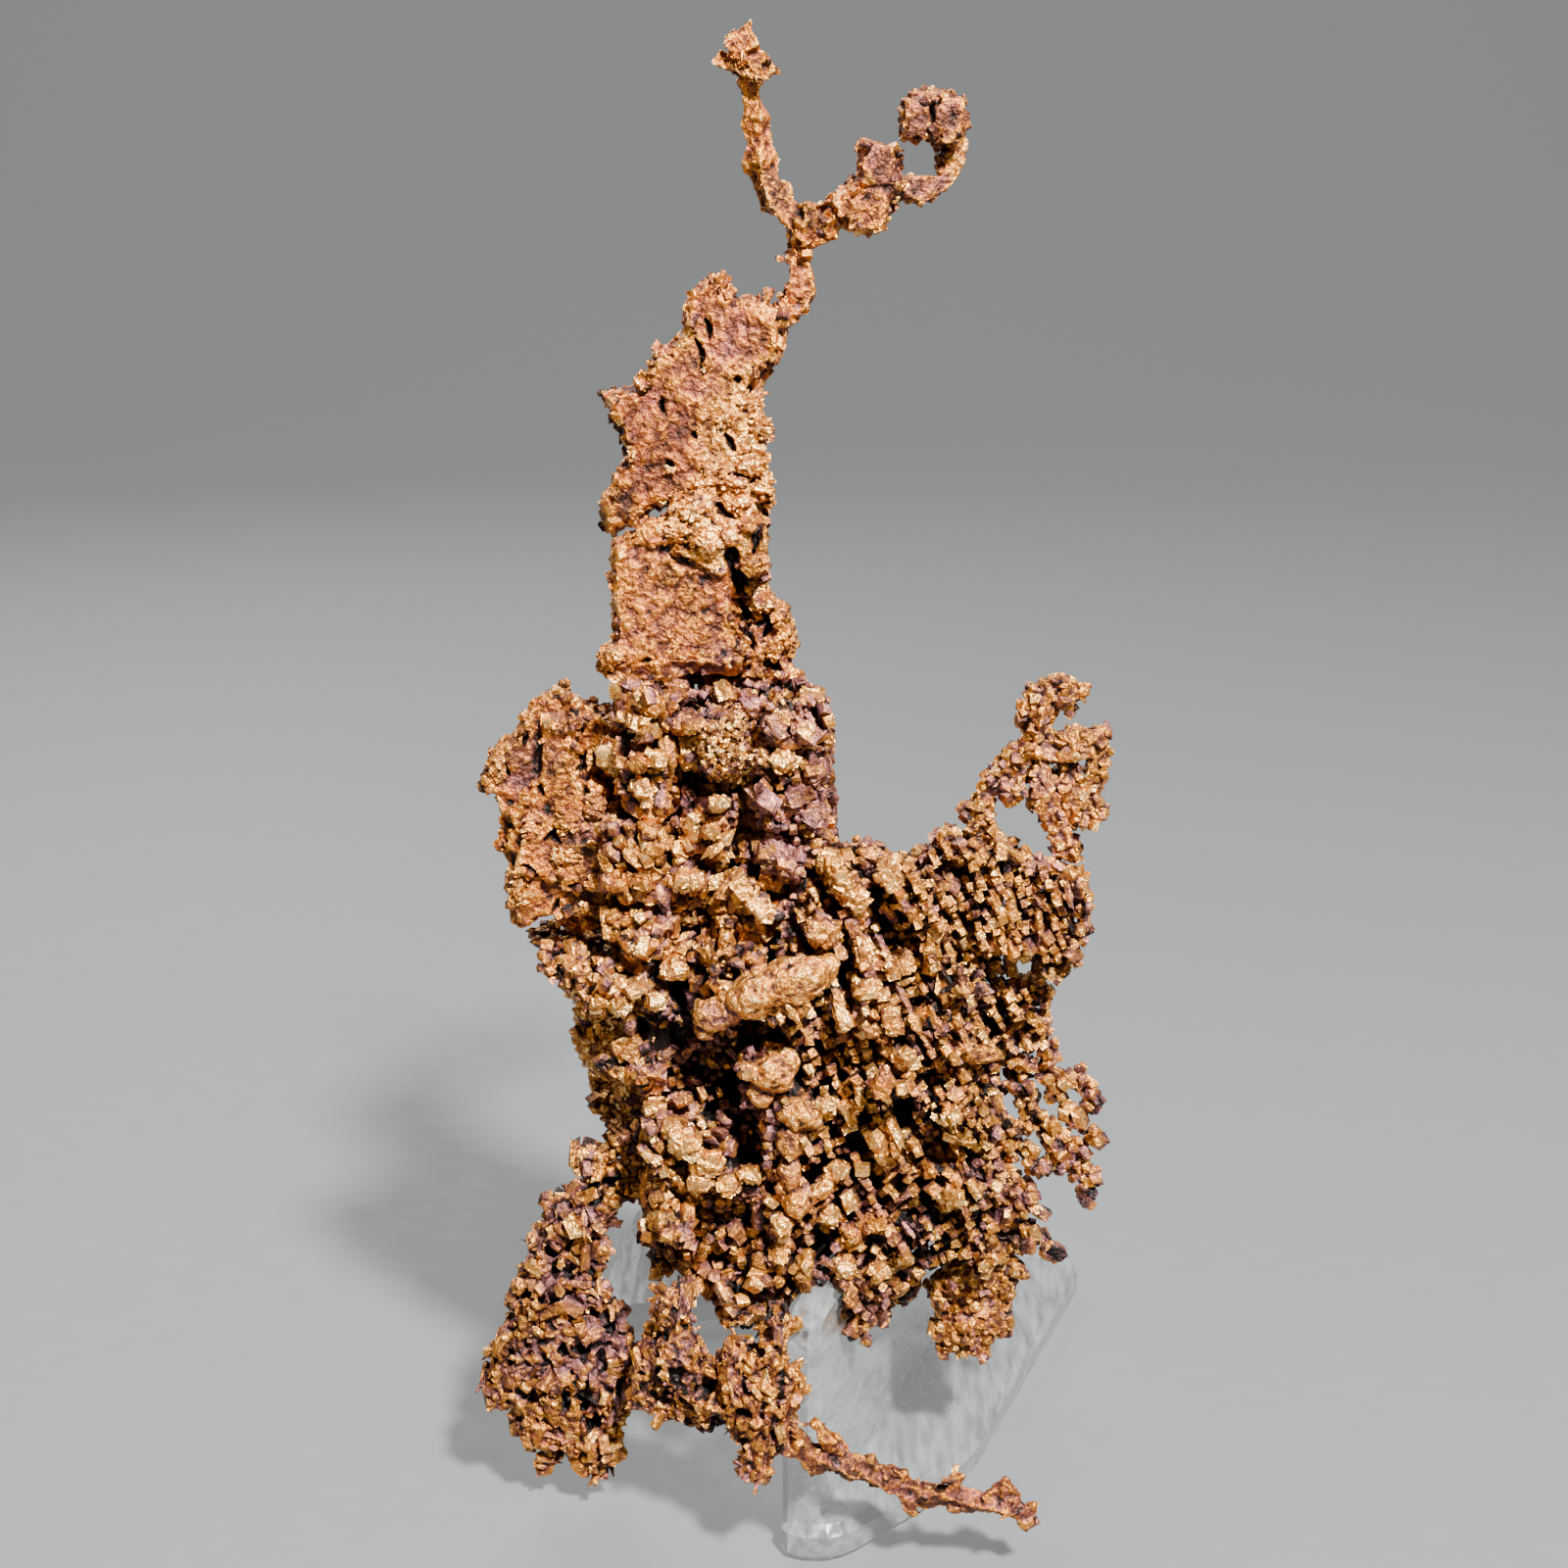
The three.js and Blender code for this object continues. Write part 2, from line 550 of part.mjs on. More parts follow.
function fringe() {
  const paths = [
    [[1070, 900, 0, 0.9], [1098, 905, 0, 0.9], [1102, 940, 0.1, 0.8], [1088, 970, 0.1, 0.8],
      [1056, 966, 0, 0.9]],
    [[1066, 968, 0, 0.8], [1066, 992, 0, 0.6]],
    [[1015, 965, 0, 0.8], [1022, 990, 0.1, 0.6]],
    [[1030, 1010, 0, 0.9], [1055, 1008, 0, 0.8], [1074, 1014, 0, 0.5]],
    [[1040, 1040, 0, 0.9], [1066, 1036, 0, 0.8], [1067, 1066, 0, 0.7], [1068, 1092, 0.1, 0.7],
      [1040, 1084, 0, 0.8], [1018, 1064, 0, 0.8]],
    [[1045, 1086, 0, 0.8], [1040, 1110, 0.1, 0.7], [1056, 1138, 0.1, 0.7], [1040, 1150, 0, 0.7],
      [1018, 1146, 0, 0.8]],
    [[1056, 1090, 0, 0.7], [1080, 1100, 0.1, 0.7], [1105, 1102, 0.1, 0.65], [1115, 1130, 0.1, 0.5]],
    [[1078, 1104, 0.1, 0.65], [1080, 1122, 0.1, 0.65], [1100, 1142, 0.1, 0.5]],
    [[1056, 1138, 0.1, 0.65], [1078, 1164, 0.1, 0.65], [1076, 1184, 0.1, 0.7], [1060, 1198, 0, 0.7],
      [1046, 1176, 0, 0.7], [1022, 1170, 0, 0.8]],
    [[1078, 1160, 0.1, 0.6], [1098, 1172, 0.1, 0.65], [1114, 1156, 0.1, 0.7]],
    [[1099, 1168, 0.1, 0.65], [1096, 1188, 0.1, 0.7], [1104, 1210, 0.1, 0.6],
      [1111, 1228, 0.1, 0.45]],
    [[1104, 1212, 0.1, 0.6], [1121, 1198, 0.1, 0.5]],
    [[990, 1100, 0, 0.9], [1012, 1102, 0, 0.7], [1020, 1114, 0, 0.7], [1006, 1132, 0, 0.8]],
    [[1030, 1224, 0, 0.8], [1052, 1230, 0, 0.6], [1058, 1242, 0, 0.4]],
    [[1026, 1248, 0, 0.9], [1056, 1260, 0, 0.75], [1081, 1281, 0, 0.5]],
    [[1026, 1272, 0, 0.8], [1050, 1296, 0, 0.5]],
    [[974, 848, 0.2, 0.8], [964, 866, 0, 0.9]],
    [[668, 1296, 0.5, 1.0], [684, 1282, 0.2, 0.8], [698, 1266, 0, 0.9]],
    [[604, 1062, 0.2, 0.8], [612, 1082, 0.2, 0.8], [634, 1096, 0, 0.8], [638, 1122, 0, 0.7]],
  ];
  return paths.map((path, i) => twig(path, 70 + i));
}

function buildBody() {
  const core = [
    plate(NECK, 0.4, 7.4, 1.0),
    plate(FAN, 0.2, 3.0, 0.35),
    plate(TERRACE, 0.1, 8.0, 0.8),
    plate(HEART, -0.6, 10.2, 1.2),
    plate([[716, 1004], [760, 990], [800, 968], [832, 974], [856, 986], [838, 1008], [812, 1020],
      [800, 1040], [760, 1040], [720, 1060], [708, 1036]], -6.6, 5.0, 0.7, -0.03),
  ];
  const features = lumps([
    [785, 1010, -8.2, 3.6, 1.3, 1.4, 0.5], [784, 1095, -6.4, 2.1, 1.6, 1.9],
    [812, 1142, -6.4, 2.0, 1.6, 2.6, -0.1], [806, 1184, -6.2, 1.3, 1.6, 3.0],
    [812, 1224, -6.2, 1.8, 1.6, 2.6], [796, 1272, -5.4, 1.7, 1.5, 2.8],
    [704, 1174, -6.2, 2.8, 1.3, 2.6], [758, 1205, -5.6, 2.0, 1.2, 1.4],
    [750, 1312, -3.0, 2.2, 1.8, 1.8], [866, 1332, -4.2, 1.4, 1.4, 2.2],
    [820, 1300, -5.0, 1.3, 1.4, 2.4],
    [768, 968, -4.6, 1.2, 1.1, 1.6, -0.3],
    [848, 935, -4.4, 2.0, 1.2, 1.8],
    [790, 880, -3.8, 1.9, 1.1, 2.0], [850, 895, -3.4, 1.4, 1.2, 2.6, -0.3],
    [660, 1008, -3.8, 1.8, 1.1, 1.2],
    [606, 1030, -1.4, 1.0, 1.2, 2.6],
    [988, 1076, -2.4, 2.2, 1.0, 0.8, 1.3], [1060, 905, -1.6, 2.4, 1.1, 1.6],
    [908, 1150, -4.8, 1.0, 1.0, 3.0, -0.45], [868, 1035, -5.2, 1.0, 1.0, 2.6, -0.3],
    [885, 990, -4.8, 1.6, 1.1, 2.0],
  ], 52);
  return join([...core, ...features, ...bodyCrystals(), ...fringe()]);
}

// ---------------------------------------------------------------- right arm

function buildArm() {
  return join([
    twig([[1004, 862, 0, 1.1], [1002, 838, 0, 0.9], [1000, 820, -0.1, 1.0],
      [1012, 796, -0.2, 0.95], [1034, 778, -0.2, 0.85], [1054, 766, -0.2, 1.0],
      [1058, 738, -0.2, 1.0], [1062, 716, -0.1, 1.1], [1068, 700, 0, 1.1]], 101),
    twig([[1000, 832, -0.1, 0.7], [985, 826, -0.1, 0.6]], 102),
    twig([[1052, 706, 0, 0.8], [1076, 704, 0, 1.0], [1096, 702, 0, 0.85],
      [1110, 705, 0, 0.5]], 103),
    twig([[1078, 712, 0, 0.6], [1094, 724, 0, 0.5]], 104),
    twig([[1054, 766, -0.2, 1.0], [1082, 758, -0.1, 1.1], [1106, 760, 0, 1.1],
      [1124, 758, 0.1, 1.1]], 105),
    twig([[1124, 764, 0.1, 1.0], [1117, 788, 0.1, 0.8], [1115, 812, 0.1, 0.75],
      [1112, 834, 0.1, 0.85], [1094, 834, 0, 0.8]], 106),
    twig([[1114, 830, 0.1, 0.6], [1130, 828, 0.1, 0.5]], 107),
    twig([[1060, 778, -0.4, 1.0], [1062, 806, -0.4, 1.0], [1074, 830, -0.3, 0.95],
      [1082, 852, -0.2, 0.9], [1092, 872, -0.1, 0.95], [1094, 896, 0, 1.1]], 108),
    twig([[1038, 786, -0.2, 0.8], [1034, 808, -0.3, 0.8], [1028, 822, -0.2, 0.5]], 109),
    twig([[1090, 772, 0.2, 0.9], [1090, 800, 0.3, 0.9], [1096, 830, 0.2, 0.8]], 110),
    twig([[1062, 800, 0, 0.9], [1092, 806, 0.2, 0.8]], 111),
    twig([[1124, 752, 0.1, 1.0], [1122, 744, 0.1, 0.6]], 112),
    twig([[1020, 802, 0.2, 0.8], [1034, 800, 0.1, 0.8]], 113),
  ]);
}

// ---------------------------------------------------------------- lower right cluster

function buildCluster() {
  return join([
    twig([[985, 1262, -0.6, 1.6], [985, 1290, -0.6, 1.6], [990, 1315, -0.8, 1.5],
      [985, 1340, -0.9, 1.4], [975, 1362, -0.9, 1.1], [960, 1380, -0.8, 0.6]], 121),
    twig([[968, 1300, -0.6, 0.9], [962, 1318, -0.8, 1.0], [968, 1338, -0.9, 1.0],
      [976, 1352, -1.0, 0.9], [986, 1380, -1.0, 0.5]], 122),
    twig([[1005, 1290, -0.4, 1.3], [1015, 1310, -0.4, 1.1], [1030, 1318, -0.3, 0.7]], 123),
    twig([[1000, 1320, -0.8, 1.2], [1010, 1345, -0.8, 1.0], [1004, 1362, -0.8, 0.8],
      [998, 1380, -0.8, 0.5]], 124),
    twig([[1008, 1345, -0.8, 0.8], [1022, 1352, -0.7, 0.85], [1022, 1362, -0.7, 0.6]], 125),
    twig([[1010, 1285, -0.3, 1.0], [1034, 1292, -0.2, 0.7], [1044, 1302, -0.2, 0.5]], 126),
    twig([[955, 1352, -0.8, 0.7], [970, 1356, -0.9, 0.8]], 127),
    ...lumps([[1000, 1300, 1.2, 2.4, 1.6, 2.4], [985, 1335, 0.6, 2.0, 1.4, 2.0]], 128),
  ]);
}

// ---------------------------------------------------------------- lower left branch

function buildBranch() {
  const y = -1.6;
  const trunk = [
    [662, 1186], [640, 1192], [616, 1196], [596, 1206], [580, 1216], [566, 1232], [550, 1258],
    [540, 1284], [526, 1306], [518, 1330], [524, 1352], [600, 1352], [606, 1316], [612, 1292],
    [614, 1266], [622, 1240], [640, 1222], [662, 1214],
  ];
  const foot = [
    [524, 1340], [508, 1362], [496, 1382], [494, 1410], [500, 1430], [528, 1430], [532, 1456],
    [552, 1472], [570, 1468], [586, 1480], [592, 1496], [604, 1492], [616, 1504], [630, 1480],
    [634, 1452], [644, 1428], [650, 1396], [640, 1352], [600, 1336],
  ];
  return join([
    plate(trunk, y, 3.4, 0.6),
    plate(foot, y - 0.6, 3.8, 0.7),
    twig([[668, 1188, y, 1.0], [640, 1198, y, 1.1], [610, 1208, y, 1.2],
      [585, 1240, y - 0.4, 1.5], [565, 1275, y - 0.5, 1.6], [552, 1315, y - 0.6, 1.6],
      [545, 1350, y - 0.8, 1.6]], 131),
    twig([[600, 1204, y, 0.9], [592, 1184, y, 0.9], [612, 1178, y, 0.9], [630, 1172, y, 0.9],
      [640, 1156, y, 0.9], [652, 1154, y, 0.6], [656, 1172, y, 0.5], [650, 1194, y, 0.8]], 133),
    twig([[585, 1222, y, 0.8], [562, 1228, y, 0.6], [555, 1222, y, 0.35]], 134),
    twig([[555, 1262, y, 0.8], [536, 1274, y, 0.5]], 135),
    twig([[605, 1230, y, 0.9], [618, 1246, y, 0.7], [626, 1246, y, 0.35]], 137),
    twig([[600, 1260, y, 1.0], [610, 1275, y, 0.8], [606, 1300, y, 0.8],
      [600, 1330, y - 0.6, 1.1]], 138),
    twig([[606, 1330, y, 0.7], [621, 1310, y, 0.45]], 139),
    twig([[620, 1350, y, 0.8], [632, 1330, y, 0.6]], 140),
    twig([[648, 1360, y - 0.8, 1.0], [650, 1388, y - 1.0, 1.2], [640, 1412, y - 1.0, 1.1]], 141),
    twig([[510, 1378, y - 0.6, 1.1], [506, 1408, y - 0.7, 1.1], [508, 1428, y - 0.6, 0.6]], 142),
    twig([[570, 1380, y - 1.8, 1.5], [565, 1410, y - 2.0, 1.4], [582, 1440, y - 2.0, 1.3],
      [600, 1470, y - 1.6, 1.2], [592, 1494, y - 1.4, 0.7]], 143),
    twig([[620, 1390, y - 1.8, 1.3], [612, 1430, y - 1.8, 1.3], [616, 1470, y - 1.6, 1.2],
      [615, 1498, y - 1.4, 0.7]], 144),
    twig([[580, 1462, y - 1.0, 0.8], [564, 1484, y - 1.0, 0.6], [550, 1500, y - 1.0, 0.45]], 145),
    twig([[536, 1420, y - 0.8, 0.7], [532, 1446, y - 0.8, 0.5], [540, 1464, y - 0.8, 0.7],
      [560, 1464, y - 0.8, 0.8]], 146),
    twig([[570, 1290, y + 1.6, 1.2], [545, 1350, y + 1.4, 1.3], [560, 1410, y + 1.2, 1.4],
      [610, 1450, y + 1.2, 1.3]], 147),
  ]);
}

// ---------------------------------------------------------------- lower bridge

function buildBridge() {
  const left = [
    [664, 1330], [672, 1318], [690, 1312], [702, 1322], [704, 1342], [718, 1360], [722, 1384],
    [744, 1400], [740, 1452], [716, 1460], [704, 1440], [680, 1444], [640, 1428], [636, 1396],
    [660, 1360], [668, 1346],
  ];
  const right = [
    [790, 1330], [800, 1338], [802, 1384], [818, 1416], [810, 1434], [803, 1450], [804, 1480],
    [784, 1486], [784, 1508], [766, 1508], [758, 1480], [736, 1464], [732, 1400], [750, 1370],
    [768, 1372], [774, 1358], [788, 1344],
  ];
  return join([
    plate(left, -6.2, 3.4, 0.6, -0.12),
    plate(right, -10.4, 3.6, 0.6, -0.15),
    twig([[706, 1290, -4.0, 1.0], [704, 1308, -4.6, 0.9], [690, 1322, -5.6, 1.1]], 151),
    twig([[792, 1318, -7.6, 1.0], [793, 1338, -8.8, 0.8], [790, 1362, -10.0, 1.1],
      [784, 1390, -11.0, 1.4], [786, 1420, -11.6, 1.5], [778, 1450, -11.8, 1.5],
      [772, 1480, -11.8, 1.3], [772, 1500, -11.8, 0.9]], 152),
    twig([[690, 1340, -6.4, 1.3], [692, 1370, -7.0, 1.6], [698, 1400, -7.6, 1.6],
      [706, 1430, -8.0, 1.3]], 153),
    twig([[634, 1420, -4.6, 1.1], [664, 1416, -6.2, 1.2], [700, 1420, -7.8, 1.3],
      [730, 1430, -9.4, 1.5], [760, 1440, -10.8, 1.6]], 154),
    twig([[734, 1400, -9.0, 1.0], [750, 1378, -9.6, 0.9], [764, 1382, -10.2, 0.9]], 155),
    twig([[788, 1494, -11.8, 0.7], [804, 1506, -11.8, 0.55], [800, 1516, -11.8, 0.4]], 156),
    twig([[800, 1456, -11.8, 1.1], [814, 1476, -11.8, 1.0]], 157),
    twig([[804, 1400, -11.0, 0.8], [812, 1420, -11.2, 0.8]], 158),
    twig([[660, 1424, -4.6, 0.9], [720, 1440, -7.6, 1.0], [770, 1440, -9.8, 1.1]], 159),
  ]);
}

// ---------------------------------------------------------------- tail twig

function buildTail() {
  const y = -11.8;
  return join([
    twig([[800, 1456, y, 1.0], [816, 1478, y, 0.95], [834, 1488, y, 0.95],
      [856, 1492, y, 0.95], [886, 1502, y, 1.05], [914, 1512, y, 0.95], [936, 1524, y, 0.8],
      [974, 1528, y, 0.9], [1000, 1532, y, 0.75], [1030, 1534, y, 0.9],
      [1046, 1548, y, 0.75], [1048, 1560, y, 0.4]], 161, { pitch: 1.5 }),
    twig([[858, 1484, y, 0.7], [842, 1464, y, 0.6], [826, 1448, y, 0.45]], 162),
    twig([[888, 1500, y, 0.7], [890, 1486, y, 0.4]], 163),
    twig([[922, 1520, y, 0.7], [932, 1545, y, 0.4]], 164),
    twig([[972, 1524, y, 0.6], [974, 1510, y, 0.5], [984, 1506, y, 0.3]], 165),
    twig([[1010, 1528, y, 0.6], [1024, 1516, y, 0.6], [1038, 1528, y, 0.6]], 166),
    twig([[1046, 1544, y, 0.6], [1058, 1533, y, 0.3]], 167),
    twig([[916, 1510, y, 0.7], [924, 1502, y, 0.5]], 168),
    twig([[972, 1530, y, 0.7], [976, 1542, y, 0.4]], 169),
  ]);
}

// ---------------------------------------------------------------- stand

/** Corner-rounded outline in mm. */
function rounded(corners, radius, steps = 3) {
  const n = corners.length;
  return corners.flatMap(([x, y], i) => {
    const here = new THREE.Vector2(x, y);
    const before = new THREE.Vector2(...corners[(i + n - 1) % n]).sub(here);
    const after = new THREE.Vector2(...corners[(i + 1) % n]).sub(here);
    const run = Math.min(radius, before.length() * 0.45, after.length() * 0.45);
    const start = here.clone().add(before.setLength(run));
    const end = here.clone().add(after.setLength(run));
    const curve = new THREE.QuadraticBezierCurve(start, here, end);
    return curve.getPoints(steps).map((p) => [p.x, p.y]);
  });
}

const UPRIGHT_NEAR = new THREE.Vector3(1.0, -9.6, 0);
const UPRIGHT_FAR = new THREE.Vector3(15.2, 23.5, 0);

/** Upright sheet, swollen by a margin. */
function uprightSheet(margin) {
  const along = UPRIGHT_FAR.clone().sub(UPRIGHT_NEAR);
  const length = along.length();
  along.normalize();
  const across = new THREE.Vector3(along.y, -along.x, 0);
  const top = UPRIGHT_TOP + margin;
  const outline = rounded([[-margin, 0.2], [length, 0.2], [length, top], [-margin, top]], 2.6, 3);
  return slab(outline, softEdges(SHEET_THICK + 2 * margin), ({ x, y, z }) => (
    UPRIGHT_NEAR.clone().addScaledVector(along, x).addScaledVector(across, z).setZ(y)
  ));
}

/** Foot of the stand, a rounded sheet flat on the table. */
function foot(corners, radius) {
  return slab(rounded(corners, radius), softEdges(SHEET_THICK), ({ x, y, z }) => (
    new THREE.Vector3(x, y, z + SHEET_THICK / 2)
  ));
}

function buildStand() {
  const right = foot([[-0.8, -10.2], [4.0, -11.0], [14.5, -1.5], [28.5, 30.5], [25.0, 34.0],
    [16.0, 34.0]], 3.0);
  const left = foot([[-18.0, 20.5], [-4.0, 24.0], [11.0, 26.0], [16.5, 22.0], [24.5, 34.0],
    [23.0, 43.5], [-15.0, 43.0]], 3.2);
  return join([right, left, uprightSheet(0)]);
}

// ---------------------------------------------------------------- assembly

function build() {
  let spire = buildSpire();
  let horn = buildHorn();
  let hook = buildHook();
  let wing = buildWing();
  let body = buildBody();
  let arm = buildArm();
  let cluster = buildCluster();
  let branch = buildBranch();
  let bridge = buildBridge();
  let tail = buildTail();

  [spire, horn] = fork(spire, horn, [810, 318, 0], [6, -20], 1.9);
  [horn, hook] = fork(horn, hook, [852, 216, -0.4], [20, -5], 3.2);
  [body, spire] = fork(body, spire, [730, 690, 0], [0, -20], 14);
  [body, wing] = fork(body, wing, [622, 826, 0], [-20, 0], 9.6);
  [body, arm] = fork(body, arm, [1050, 866, 0], [6, -20], 7.4);
  [body, cluster] = fork(body, cluster, [995, 1278, 0], [0, 20], 5.0);
  [body, branch] = fork(body, branch, [658, 1200, 0], [-20, 0], 4.6);
  [branch, bridge] = fork(branch, bridge, [646, 1400, -4], [20, 0], 5.0);
  [body, bridge] = fork(body, bridge, [704, 1302, -4], [0, 20], 2.6, 3);
  [body, bridge] = fork(body, bridge, [793, 1334, -8.8], [0, 20], 2.2);
  [bridge, tail] = fork(bridge, tail, [808, 1468, -11.8], [20, 16], 3.0);

  const slot = uprightSheet(REST_GAP);
  body = body.subtract(slot);
  bridge = bridge.subtract(slot);

  const group = new THREE.Group();
  group.name = 'native_copper_on_stand';
  const clear = new THREE.MeshStandardMaterial({
    color: 0xe8efec, metalness: 0, roughness: 0.08, transparent: true, opacity: 0.35,
  });
  group.add(
    meshOf(spire, 'spire_blade', copper(0xb5683a)),
    meshOf(horn, 'horn_twig', copper(0xb5683a)),
    meshOf(hook, 'hook_twig', copper(0xa8683c)),
    meshOf(wing, 'left_plates', copper(0xb07440)),
    meshOf(body, 'crystal_body', copper(0xa8683c)),
    meshOf(arm, 'loop_arm', copper(0xb08050)),
    meshOf(cluster, 'corner_cluster', copper(0x7a5230)),
    meshOf(branch, 'lower_branch', copper(0x9a6044)),
    meshOf(bridge, 'lower_bridge', copper(0xa0623e)),
    meshOf(tail, 'tail_twig', copper(0x9a5028)),
    meshOf(buildStand(), 'acrylic_stand', clear),
  );
  return group;
}

export default build();
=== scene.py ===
"""Branching native copper on a clear acrylic stand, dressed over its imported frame."""

import json
import logging
import math
from collections.abc import Callable, Iterator
from dataclasses import dataclass, field
from enum import Enum
from typing import NamedTuple

import bpy
import numpy as np
from mathutils import Euler, Matrix, Vector, noise
from mathutils.bvhtree import BVHTree
from mathutils.kdtree import KDTree

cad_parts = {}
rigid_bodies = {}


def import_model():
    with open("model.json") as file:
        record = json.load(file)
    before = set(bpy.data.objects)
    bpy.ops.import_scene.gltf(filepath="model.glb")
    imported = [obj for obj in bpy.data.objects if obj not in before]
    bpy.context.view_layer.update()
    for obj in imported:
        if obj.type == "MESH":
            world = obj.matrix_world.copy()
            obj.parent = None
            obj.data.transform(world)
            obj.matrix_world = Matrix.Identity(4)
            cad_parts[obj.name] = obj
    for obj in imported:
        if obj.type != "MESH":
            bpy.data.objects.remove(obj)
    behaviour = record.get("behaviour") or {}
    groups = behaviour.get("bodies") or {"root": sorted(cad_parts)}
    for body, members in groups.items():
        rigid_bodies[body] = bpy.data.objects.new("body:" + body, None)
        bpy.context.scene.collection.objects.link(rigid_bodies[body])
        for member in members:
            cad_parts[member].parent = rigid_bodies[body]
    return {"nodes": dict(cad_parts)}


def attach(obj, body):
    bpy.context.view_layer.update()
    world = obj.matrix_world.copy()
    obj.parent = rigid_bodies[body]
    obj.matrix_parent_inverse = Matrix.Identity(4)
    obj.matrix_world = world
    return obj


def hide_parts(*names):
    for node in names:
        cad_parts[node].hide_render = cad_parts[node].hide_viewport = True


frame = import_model()

LOG = logging.getLogger("native_copper")
MM = 0.001
PX = 1 / 14.0  # mm that one sheet step covers at the copper's middle plane
GOLDEN_TURN = 2.4  # radians from one spot of a spiral to the next
JUST_INSIDE = 1e-5  # metres below a surface, so that a ray doesn't meet it again
TINY = 1e-6  # length that counts as none
TRIES = 3  # places tried for each one that fits on a surface
CREASE_STRAY = 1.7  # sheet steps that a crease wanders off its line
CREASE_WAVES = (4.1, 5.3, 4.7, 6.1)  # sheet steps to a radian of its waves
CREASE_END = 0.4  # width of a crease at its ends, as a share
CREASE_BULGE = 2.4  # how it widens toward its middle
CREASE_FLOOR = 1.3  # over 1, so that a crease has a floor
CREASE_FACING = 0.25  # y of the normals that still count as front
PATCH_RIM = 1.25  # how far out a patch of tarnish ends, as a share of its half sizes
PATCH_FADE = 0.5  # and how wide it fades
FAR_BEHIND = 60.0  # mm behind the middle plane, past every piece of the copper


class Habit(Enum):
    """Shape that a copper crystal grows in."""

    BLOCK = "block"
    KNOB = "knob"
    ROD = "rod"
    SHARD = "shard"
    SLAB = "slab"
    BOSS = "boss"


class Coat(Enum):
    """Kind of relief that roughens a skin."""

    CLOUDS = "CLOUDS"
    VORONOI = "VORONOI"


@dataclass(frozen=True)
class Tone:
    """How much of each tarnish a crystal has, each from 0 to 1."""

    orange: float = 0.3
    gold: float = 0.4
    plum: float = 0.2

    def blend(self, other: "Tone", share: float) -> "Tone":
        """Mixes two tones.

        Args:
            other: the tone that is mixed in.
            share: how much of it, from 0 to 1.

        Returns:
            The mixed tone.
        """
        keep = 1 - share
        return Tone(
            self.orange * keep + other.orange * share,
            self.gold * keep + other.gold * share,
            self.plum * keep + other.plum * share,
        )

    def row(self) -> list[float]:
        """Its shares and a full fourth channel, as a colour attribute keeps them."""
        return [self.orange, self.gold, self.plum, 1.0]


@dataclass(frozen=True)
class FrontSheet:
    """Front sheet on which outlines are placed, u to the right and v down, in sheet steps."""

    side: float = 1600.0
    middle: float = 800.0
    reach: float = 2000.0
    station: tuple[float, float, float] = (-2.0, -171.0, 95.0)
    tilt: float = math.radians(15.0)
    copper_plane: float = -33.0

    def sight(self, u: float, v: float) -> Vector:
        """Direction of the sight line through a sheet point.

        Args:
            u: sheet steps to the right.
            v: sheet steps down.

        Returns:
            The direction, of any length.
        """
        du, dv = u - self.middle, self.middle - v
        sin, cos = math.sin(self.tilt), math.cos(self.tilt)
        return Vector((du, self.reach * cos + dv * sin, dv * cos - self.reach * sin))

    def at(self, u: float, v: float, depth: float = 0.0) -> Vector:
        """Place on a sight line.

        Args:
            u: sheet steps to the right.
            v: sheet steps down.
            depth: mm behind the copper's middle plane.

        Returns:
            The place in mm.
        """
        line = self.sight(u, v)
        start = Vector(self.station)
        return start + line * ((self.copper_plane + depth - start.y) / line.y)

    def marks(self, points: np.ndarray) -> np.ndarray:
        """Sheet points of places.

        Args:
            points: places in mm, one row each.

        Returns:
            u and v, one row each.
        """
        sin, cos = math.sin(self.tilt), math.cos(self.tilt)
        rel = points - np.array(self.station)
        ahead = rel[:, 1] * cos - rel[:, 2] * sin
        rise = rel[:, 1] * sin + rel[:, 2] * cos
        u = self.middle + self.reach * rel[:, 0] / ahead
        v = self.middle - self.reach * rise / ahead
        return np.stack([u, v], axis=1)


SHEET = FrontSheet()


def unit(value: float) -> float:
    """A value kept between 0 and 1."""
    return min(1.0, max(0.0, value))


def heading(turn: float) -> Vector:
    """Direction across the front at an angle in radians from u toward v."""
    return Vector((math.cos(turn), 0, -math.sin(turn)))


def lone(obj: bpy.types.Object) -> bpy.types.Object:
    """Selects one object alone and makes it active.

    Args:
        obj: the object.

    Returns:
        The same object.
    """
    bpy.ops.object.select_all(action="DESELECT")
    obj.select_set(True)
    bpy.context.view_layer.objects.active = obj
    return obj


def arrays_of(mesh: bpy.types.Mesh) -> tuple[np.ndarray, np.ndarray]:
    """Corners and triangles of a mesh.

    Args:
        mesh: the mesh to read.

    Returns:
        The corners, one row each, and the corner numbers of its triangles.
    """
    mesh.calc_loop_triangles()
    corners = np.empty(len(mesh.vertices) * 3)
    mesh.vertices.foreach_get("co", corners)
    faces = np.empty(len(mesh.loop_triangles) * 3, dtype=np.int32)
    mesh.loop_triangles.foreach_get("vertices", faces)
    return corners.reshape(-1, 3), faces.reshape(-1, 3)


def normals_of(mesh: bpy.types.Mesh) -> np.ndarray:
    """Directions in which the corners of a mesh face.

    Args:
        mesh: the mesh to read.

    Returns:
        One normal for each corner.
    """
    normals = np.empty(len(mesh.vertices) * 3)
    mesh.vertices.foreach_get("normal", normals)
    return normals.reshape(-1, 3)


def set_corners(obj: bpy.types.Object, corners: np.ndarray) -> None:
    """Moves the corners of an object to new places."""
    obj.data.vertices.foreach_set("co", corners.reshape(-1))
    obj.data.update()


